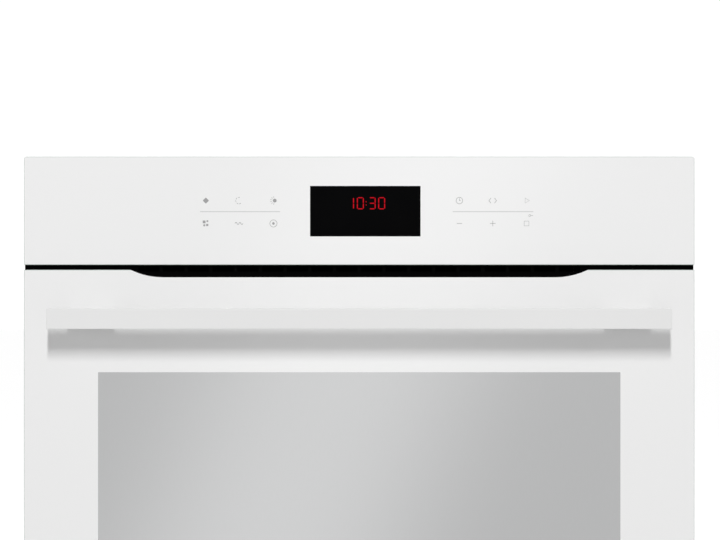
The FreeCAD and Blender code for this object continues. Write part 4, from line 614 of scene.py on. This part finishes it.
# %% [markdown]
# ## Panel print
# Two touch fields flank the display, each with three marks above a thin line and three below. The
# marks are screen print, a soft grey on the white. Their shapes are the common signs of such panels:
# clock, arrows, start, minus, plus and stop on the right, and cooking modes on the left.

# %% Draw the marks
MARK = 2.75 * MM
LINE = 0.42 * MM
HIGH, LOW = 0.5640, 0.5437
LEFT = (-0.1361, -0.1067, -0.0761)
RIGHT = (0.0889, 0.1185, 0.1485)


def print_ink(name, tone):
    """Screen-printed ink: a grey that lies a little unevenly over the mesh of the screen."""
    finish = Finish(name, roughness=0.5)
    film = finish.noise(1500, 2.0)
    return finish.set(base_color=finish.mix(film, (tone * 0.92,) * 3, (tone * 1.08,) * 3))


grey_print = print_ink("grey_print", 0.33)
pale_print = print_ink("pale_print", 0.52)


def draw_modes(mesh):
    """The left field's six marks."""
    disc(mesh, LEFT[0], HIGH, MARK, corners=4)
    for start in (75, 125, 175, 225, 275):
        ring(mesh, LEFT[1], HIGH, MARK * 1.05, LINE, start, 32, steps=6)
    disc(mesh, LEFT[2] + 0.4 * MARK, HIGH, MARK * 0.62)
    for turn in range(100, 261, 32):
        away = at(LEFT[2] + 0.3 * MARK, HIGH, turn) @ Vector((MARK * 1.12, 0, 0))
        bar(mesh, away.x, away.z, MARK * 0.45, LINE, turn)
    for x, z, size in ((-0.55, 0.5, 0.9), (0.5, 0.75, 0.55), (-0.5, -0.6, 0.62), (0.45, -0.5, 0.7)):
        bar(mesh, LEFT[0] + x * MARK, LOW + z * MARK, MARK * size, MARK * size)
    for step in range(4):
        x = LEFT[1] + (step - 1.5) * 0.62 * MARK
        ring(mesh, x, LOW, MARK * 0.31, LINE * 1.2, 180 * (step % 2), 180, steps=8)
    ring(mesh, LEFT[2], LOW, MARK * 1.15, LINE)
    disc(mesh, LEFT[2], LOW, MARK * 0.42)


def draw_controls(mesh):
    """The right field's six marks and its small lock sign."""
    ring(mesh, RIGHT[0], HIGH, MARK * 1.05, LINE)
    bar(mesh, RIGHT[0], HIGH + MARK * 0.35, LINE, MARK * 0.7)
    bar(mesh, RIGHT[0] + MARK * 0.22, HIGH, MARK * 0.45, LINE)
    for side in (-1, 1):
        for up in (-1, 1):
            x = RIGHT[1] + side * MARK * 0.9
            bar(mesh, x, HIGH + up * MARK * 0.4, MARK * 1.1, LINE, turn=-side * up * 51)
    outline(mesh, RIGHT[2], HIGH, MARK, LINE, corners=3, turn=-90)
    bar(mesh, RIGHT[0], LOW, MARK * 1.7, LINE)
    bar(mesh, RIGHT[1], LOW, MARK * 1.8, LINE)
    bar(mesh, RIGHT[1], LOW, LINE, MARK * 1.8)
    outline(mesh, RIGHT[2], LOW, MARK * 1.15, LINE, corners=4, turn=45)
    ring(mesh, RIGHT[2] + MARK, LOW + 7 * MM, MARK * 0.32, LINE * 0.8, steps=14)
    bar(mesh, RIGHT[2] + MARK * 1.7, LOW + 7 * MM, MARK * 0.8, LINE * 0.8)


for name, draw in (("panel_mode_marks", draw_modes), ("panel_control_marks", draw_controls)):
    mesh = bmesh.new()
    draw(mesh)
    finish_piece(name, mesh, grey_print, "oven", PRINT)

mesh = bmesh.new()
DIVIDER = (HIGH + LOW) / 2 + 0.3 * MM
for start, end in ((-0.1412, -0.0702), (0.0830, 0.1545)):
    bar(mesh, (start + end) / 2, DIVIDER, end - start, 0.55 * MM)
finish_piece("panel_dividers", mesh, pale_print, "oven", PRINT)

# %% [markdown]
# ## Clock digits
# The clock sits behind a smoked window, which hides all of it except what glows. The window is a thin
# plate, a little lower than the digits. The clock has seven bars for each digit: each lit bar is a
# long shape with pointed ends, and a table says which bars make which digit.

# %% Draw the clock
DIGIT_WIDTH, DIGIT_HEIGHT = 5.3 * MM, 9.85 * MM
BAR = 0.86 * MM
DIGIT_FOOT = display_high.z - 20.3 * MM
BARS = {"top": (0.5, 1, False), "middle": (0.5, 0.5, False), "bottom": (0.5, 0, False),
        "upper_left": (0, 0.75, True), "upper_right": (1, 0.75, True),
        "lower_left": (0, 0.25, True), "lower_right": (1, 0.25, True)}
LIT = {"1": ("upper_right", "lower_right"),
       "0": tuple(place for place in BARS if place != "middle"),
       "3": ("top", "middle", "bottom", "upper_right", "lower_right")}
CLOCK = (("1", -10.36 * MM), ("0", -1.63 * MM), ("3", 8.85 * MM), ("0", 17.27 * MM))
COLON, COLON_DOT = 6.2 * MM, 0.45 * MM


def draw_digit(mesh, sign, left):
    """The lit bars of one sign."""
    for place in LIT[sign]:
        x, z, upright = BARS[place]
        length = DIGIT_HEIGHT / 2 - BAR * 0.4 if upright else DIGIT_WIDTH - BAR * 1.1
        bar(mesh, left + x * DIGIT_WIDTH, DIGIT_FOOT + z * DIGIT_HEIGHT, length, BAR,
            turn=90 * upright, pointed=True)


mesh = bmesh.new()
window_size = display_high - display_low
window_middle = (display_high + display_low) / 2
bar(mesh, window_middle.x, window_middle.z, window_size.x, window_size.z)
smoked = Finish("smoked_window", roughness=0.3, specular_ior_level=0.01)
smoked.set(base_color=smoked.mix(smoked.noise(40, 2.0), (0.0016, 0.0016, 0.0018), (0.0026, 0.0026, 0.0028)))
finish_piece("display_window", mesh, smoked, "oven", PRINT / 2)

glow = Finish("clock_glow", base_color=(0.02, 0.001, 0.001), roughness=0.4, specular_ior_level=0.02)
flicker = glow.mix(glow.noise(300, 2.0), (0.50, 0.003, 0.010), (0.62, 0.006, 0.016))
glow.set(emission_color=flicker, emission_strength=1.0)
mesh = bmesh.new()
for sign, left in CLOCK:
    draw_digit(mesh, sign, left)
for z in (0.35, 0.63):
    disc(mesh, COLON, DIGIT_FOOT + z * DIGIT_HEIGHT, COLON_DOT, corners=12)
finish_piece("clock_digits", mesh, glow, "oven", PRINT)

# %% [markdown]
# ## Pressed beads in the casing
# Thin sheet drums and bends unless it is stiffened, so the casing's sides and back have long beads
# pressed outwards. A bead is a low rounded ridge with round ends. One quarter arc draws a whole bead:
# it is spun half a turn for the first end, drawn straight, spun again and drawn back to its start.
# The beads stand on the panels, just proud of them, in the same zinc finish.

# %% Press the beads
BEAD_WIDTH = 16 * MM
BEAD_RISE = 2.4 * MM
BEAD_STEPS = 5
BEAD_END = 12


def bead(mesh, length, place):
    """A closed ridge about its own middle, along local X and rising along local Z."""
    before = set(mesh.verts)
    half = (length - BEAD_WIDTH) / 2
    turns = [math.radians(90 * step / BEAD_STEPS) for step in range(BEAD_STEPS + 1)]
    places = [(half, -BEAD_WIDTH / 2 * math.cos(turn), BEAD_RISE * math.sin(turn)) for turn in turns]
    arc = [mesh.verts.new(spot) for spot in places]
    profile = [mesh.edges.new(pair) for pair in zip(arc, arc[1:])]
    for side in (1, -1):
        spun = bmesh.ops.spin(mesh, geom=arc + profile, cent=(side * half, 0, 0), axis=(0, 0, 1),
                              steps=BEAD_END, angle=math.pi, use_merge=False, use_duplicate=False)
        last = [part for part in spun["geom_last"] if isinstance(part, bmesh.types.BMEdge)]
        drawn = bmesh.ops.extrude_edge_only(mesh, edges=last)["geom"]
        arc = [part for part in drawn if isinstance(part, bmesh.types.BMVert)]
        profile = [part for part in drawn if isinstance(part, bmesh.types.BMEdge) and
                   all(vert in arc for vert in part.verts)]
        bmesh.ops.translate(mesh, verts=arc, vec=(-2 * side * half, 0, 0))
    made = [vert for vert in mesh.verts if vert not in before]
    bmesh.ops.remove_doubles(mesh, verts=made, dist=1e-6)
    foot = [edge for edge in mesh.edges if edge.is_boundary]
    for face in mesh.faces:
        face.smooth = True
    for edge in foot:
        edge.smooth = False
    bmesh.ops.holes_fill(mesh, edges=foot, sides=0)
    made = [vert for vert in mesh.verts if vert not in before]
    bmesh.ops.transform(mesh, verts=made, matrix=place)


def panel_place(x, y, z, out, along):
    """A frame whose Z points out of a panel and whose X runs along the bead."""
    across = Vector(out).cross(Vector(along))
    turned = Matrix((along, across, out)).transposed().to_4x4()
    return Matrix.Translation((x, y, z)) @ turned


side_low, side_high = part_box("casing_right")
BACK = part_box("casing_back")[1].y
top_low, top_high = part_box("casing_top")
case_middle = (top_low + top_high) / 2
case_depth = top_high.y - top_low.y
case_height = side_high.z - side_low.z
BEAD_FRONT, BEAD_REAR = 70 * MM, 105 * MM
SIDE_BEADS = (0.2, 0.5, 0.8)
BACK_BEAD, TOP_BEAD = 0.195, 0.21

mesh = bmesh.new()
length = case_depth - BEAD_FRONT - BEAD_REAR
for x, out in ((side_high.x, (1, 0, 0)), (-side_high.x, (-1, 0, 0))):
    for share in SIDE_BEADS:
        y, z = top_low.y + BEAD_FRONT + length / 2, side_low.z + share * case_height
        bead(mesh, length, panel_place(x, y, z, out, (0, 1, 0)))
for side in (-1, 1):
    on_back = panel_place(side * BACK_BEAD, BACK, case_height * 0.42, (0, 1, 0), (0, 0, 1))
    bead(mesh, case_height * 0.66, on_back)
    on_top = panel_place(side * TOP_BEAD, case_middle.y, top_high.z, (0, 0, 1), (0, 1, 0))
    bead(mesh, case_depth * 0.62, on_top)
finish_piece("casing_beads", mesh, finishes["galvanised_steel"], "oven")

# %% [markdown]
# ## Painted shade behind the louvre
# The air duct behind the louvre is wider than the blower that feeds it. A thin sheet of painted shade,
# almost lightless black, closes its rear end on both sides of the blower, so that the louvre shows
# nothing but dark.

# %% Painted shade sheets beside the blower
duct_low, duct_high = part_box("outlet_duct")
blower_low, blower_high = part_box("blower_housing")
SHADE_SHEET_THICKNESS = 1.5 * MM
DUCT_WALL = 2 * MM

mesh = bmesh.new()
duct_middle, duct_height = (duct_low + duct_high) / 2, duct_high.z - duct_low.z - 2 * DUCT_WALL
for inner, outer in ((blower_low.x, duct_low.x + DUCT_WALL), (blower_high.x, duct_high.x - DUCT_WALL)):
    bar(mesh, (inner + outer) / 2, duct_middle.z, abs(outer - inner), duct_height)
bmesh.ops.translate(mesh, verts=mesh.verts, vec=(0, duct_high.y - FRONT, 0))
# painted shade: black sheets that hide the lit inside of the duct
finish_piece("duct_shade_sheets", mesh, painted_shade_black, "oven", SHADE_SHEET_THICKNESS)

# %% [markdown]
# ## Numbers beside the racks
# The five rack levels are numbered on the frame round the cavity, where a cook looks for them. Each
# number is a text object turned into a mesh, then stood up and moved in the mesh itself, so that the
# piece's own place stays at the origin.

# %% Number the rack levels
gasket_low, gasket_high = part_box("door_gasket")
LEVELS = 5
NUMBER = 7 * MM
NUMBER_OUT = 8 * MM
FIRST_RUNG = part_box("side_rack_right")[0].z + 19 * MM
LEVEL_PITCH = 62 * MM
FRAME_PLANE = gasket_high.y
dark_print = print_ink("dark_print", 0.05)


def number_mesh(text, x, y, z):
    """A flat number's mesh, facing -Y."""
    curve = bpy.data.curves.new("number", "FONT")
    curve.body, curve.size, curve.align_x = text, NUMBER, "CENTER"
    item = bpy.data.objects.new("number", curve)
    bpy.context.scene.collection.objects.link(item)
    bpy.context.view_layer.update()
    flat = bpy.data.meshes.new_from_object(item.evaluated_get(bpy.context.evaluated_depsgraph_get()))
    flat.transform(Matrix.Translation((x, y, z)) @ UPRIGHT)
    bpy.data.objects.remove(item)
    return flat


mesh = bmesh.new()
for level in range(LEVELS):
    z = FIRST_RUNG + level * LEVEL_PITCH - NUMBER / 3
    for x in (gasket_high.x + NUMBER_OUT, gasket_low.x - NUMBER_OUT):
        mesh.from_mesh(number_mesh(str(level + 1), x, FRAME_PLANE, z))
bmesh.ops.remove_doubles(mesh, verts=mesh.verts, dist=1e-6)
finish_piece("level_numbers", mesh, dark_print, "oven", PRINT)

# %% [markdown]
# ## The dark border of the inner pane
# The pane that faces the cavity has a fired black border, which hides the door's columns and the glue.
# It ends in rows of dots that shrink towards the clear middle. A ring of four bars makes the solid
# part, and small discs the dots.

# %% Draw the border of the inner pane
pane_low, pane_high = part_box("door_inner_glass")
PANE_BACK = pane_high.y
BORDER = 24 * MM
DOT_PITCH = 3.2 * MM
DOT_ROWS = (1.25, 0.95, 0.65)


def border_bars(mesh, low, high, width):
    """Four bars along the inside of a rectangle."""
    middle, span = (low + high) / 2, high - low
    for side in (-1, 1):
        bar(mesh, middle.x + side * (span.x - width) / 2, middle.z, width, span.z)
        bar(mesh, middle.x, middle.z + side * (span.z - width) / 2, span.x - 2 * width, width)


def border_dots(mesh, low, high, inset):
    """Rows of dots that shrink inwards along a rectangle."""
    for row, radius in enumerate(DOT_ROWS):
        away = inset + (row + 0.6) * DOT_PITCH
        span_x, span_z = high.x - low.x - 2 * away, high.z - low.z - 2 * away
        for n in range(round(span_x / DOT_PITCH) + 1):
            x = low.x + away + n * span_x / round(span_x / DOT_PITCH)
            for z in (low.z + away, high.z - away):
                disc(mesh, x, z, radius * MM, corners=8)
        for n in range(1, round(span_z / DOT_PITCH)):
            z = low.z + away + n * span_z / round(span_z / DOT_PITCH)
            for x in (low.x + away, high.x - away):
                disc(mesh, x, z, radius * MM, corners=8)


fired_black = Finish("fired_black", coat_weight=0.6, coat_roughness=0.08)
tone = fired_black.noise(30, 3.0)
black = fired_black.mix(tone, (0.004, 0.004, 0.004), (0.008, 0.008, 0.009))
fired_black.set(base_color=black, roughness=0.4)
mesh = bmesh.new()
border_bars(mesh, pane_low, pane_high, BORDER)
border_dots(mesh, pane_low, pane_high, BORDER)
bmesh.ops.translate(mesh, verts=mesh.verts, vec=(0, PANE_BACK + PRINT - FRONT, 0))
finish_piece("inner_pane_border", mesh, fired_black, "door", PRINT)

# %% [markdown]
# ## The springs as their own piece
# Each door column holds a coil spring round its rod. When the door opens, the rod pulls down and the
# spring gets shorter, which a rigid part can't do. So the coils become a piece made from a copy of the
# CAD mesh, which rides on the door and keeps its length as the rod slides.
# CAD mesh: they ride on the door, and squash towards their fixed lower end as the rod slides.

# %% Springs as their own piece
spring_low, spring_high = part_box("hinge_springs")
joints = {joint["name"]: joint for joint in record["behaviour"]["joints"]}
ROD_TRAVEL = joints["hinge_rod_slide"]["range_m"][1]
spring_length = spring_high.z - spring_low.z

mesh = bmesh.new()
mesh.from_mesh(nodes["hinge_springs"].data)
bmesh.ops.remove_doubles(mesh, verts=mesh.verts, dist=1e-6)
slot_name = slot_of["hinge_springs"]
springs = finish_piece("hinge_spring_coils", mesh, finishes[slot_name], "door")
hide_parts("hinge_springs")
1 - ROD_TRAVEL / spring_length
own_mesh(springs)
print("springs shorten from", round(spring_length, 4), "by", ROD_TRAVEL)

# %% [markdown]
# ## Light in the cavity
# With the door open, the lamp at the back makes the enamel and the chrome readable. A small warm
# light just in front of its lens stands in for the bulb.

# %% Cavity lamp
lens_low, lens_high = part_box("lamp_lens")
lamp_data = bpy.data.lights.new("cavity_lamp", "POINT")
lamp_data.energy, lamp_data.shadow_soft_size = 0.8, 0.015
lamp_data.color = (1.0, 0.80, 0.56)
lamp = bpy.data.objects.new("cavity_lamp", lamp_data)
lamp.location = ((lens_low.x + lens_high.x) / 2, lens_low.y - 0.02, (lens_low.z + lens_high.z) / 2)
bpy.context.scene.collection.objects.link(lamp)
print("cavity lamp at", [round(value, 3) for value in lamp.location])

# %% [markdown]
# ## The floor
# A plain pale floor catches a soft shadow. It isn't part of the oven. It is bright enough to look
# white, so it is kept from lighting the oven from below and from showing in its glass.

# %% Floor
FLOOR_HALF = 30
FLOOR_DROP = 0.5 * MM
floor_finish = Finish("studio_floor", base_color=(0.86, 0.86, 0.86), roughness=0.7)
floor_finish.set(emission_color=(1, 1, 1), emission_strength=0.65)
mesh = bmesh.new()
bmesh.ops.create_grid(mesh, x_segments=1, y_segments=1, size=FLOOR_HALF)
data = bpy.data.meshes.new("floor")
mesh.to_mesh(data)
mesh.free()
floor = bpy.data.objects.new("floor", data)
floor.location.z = -FLOOR_DROP
floor.visible_diffuse = False
floor.visible_glossy = False
bpy.context.scene.collection.objects.link(floor)
dress(floor, floor_finish)
print("floor spans", 2 * FLOOR_HALF, "m")
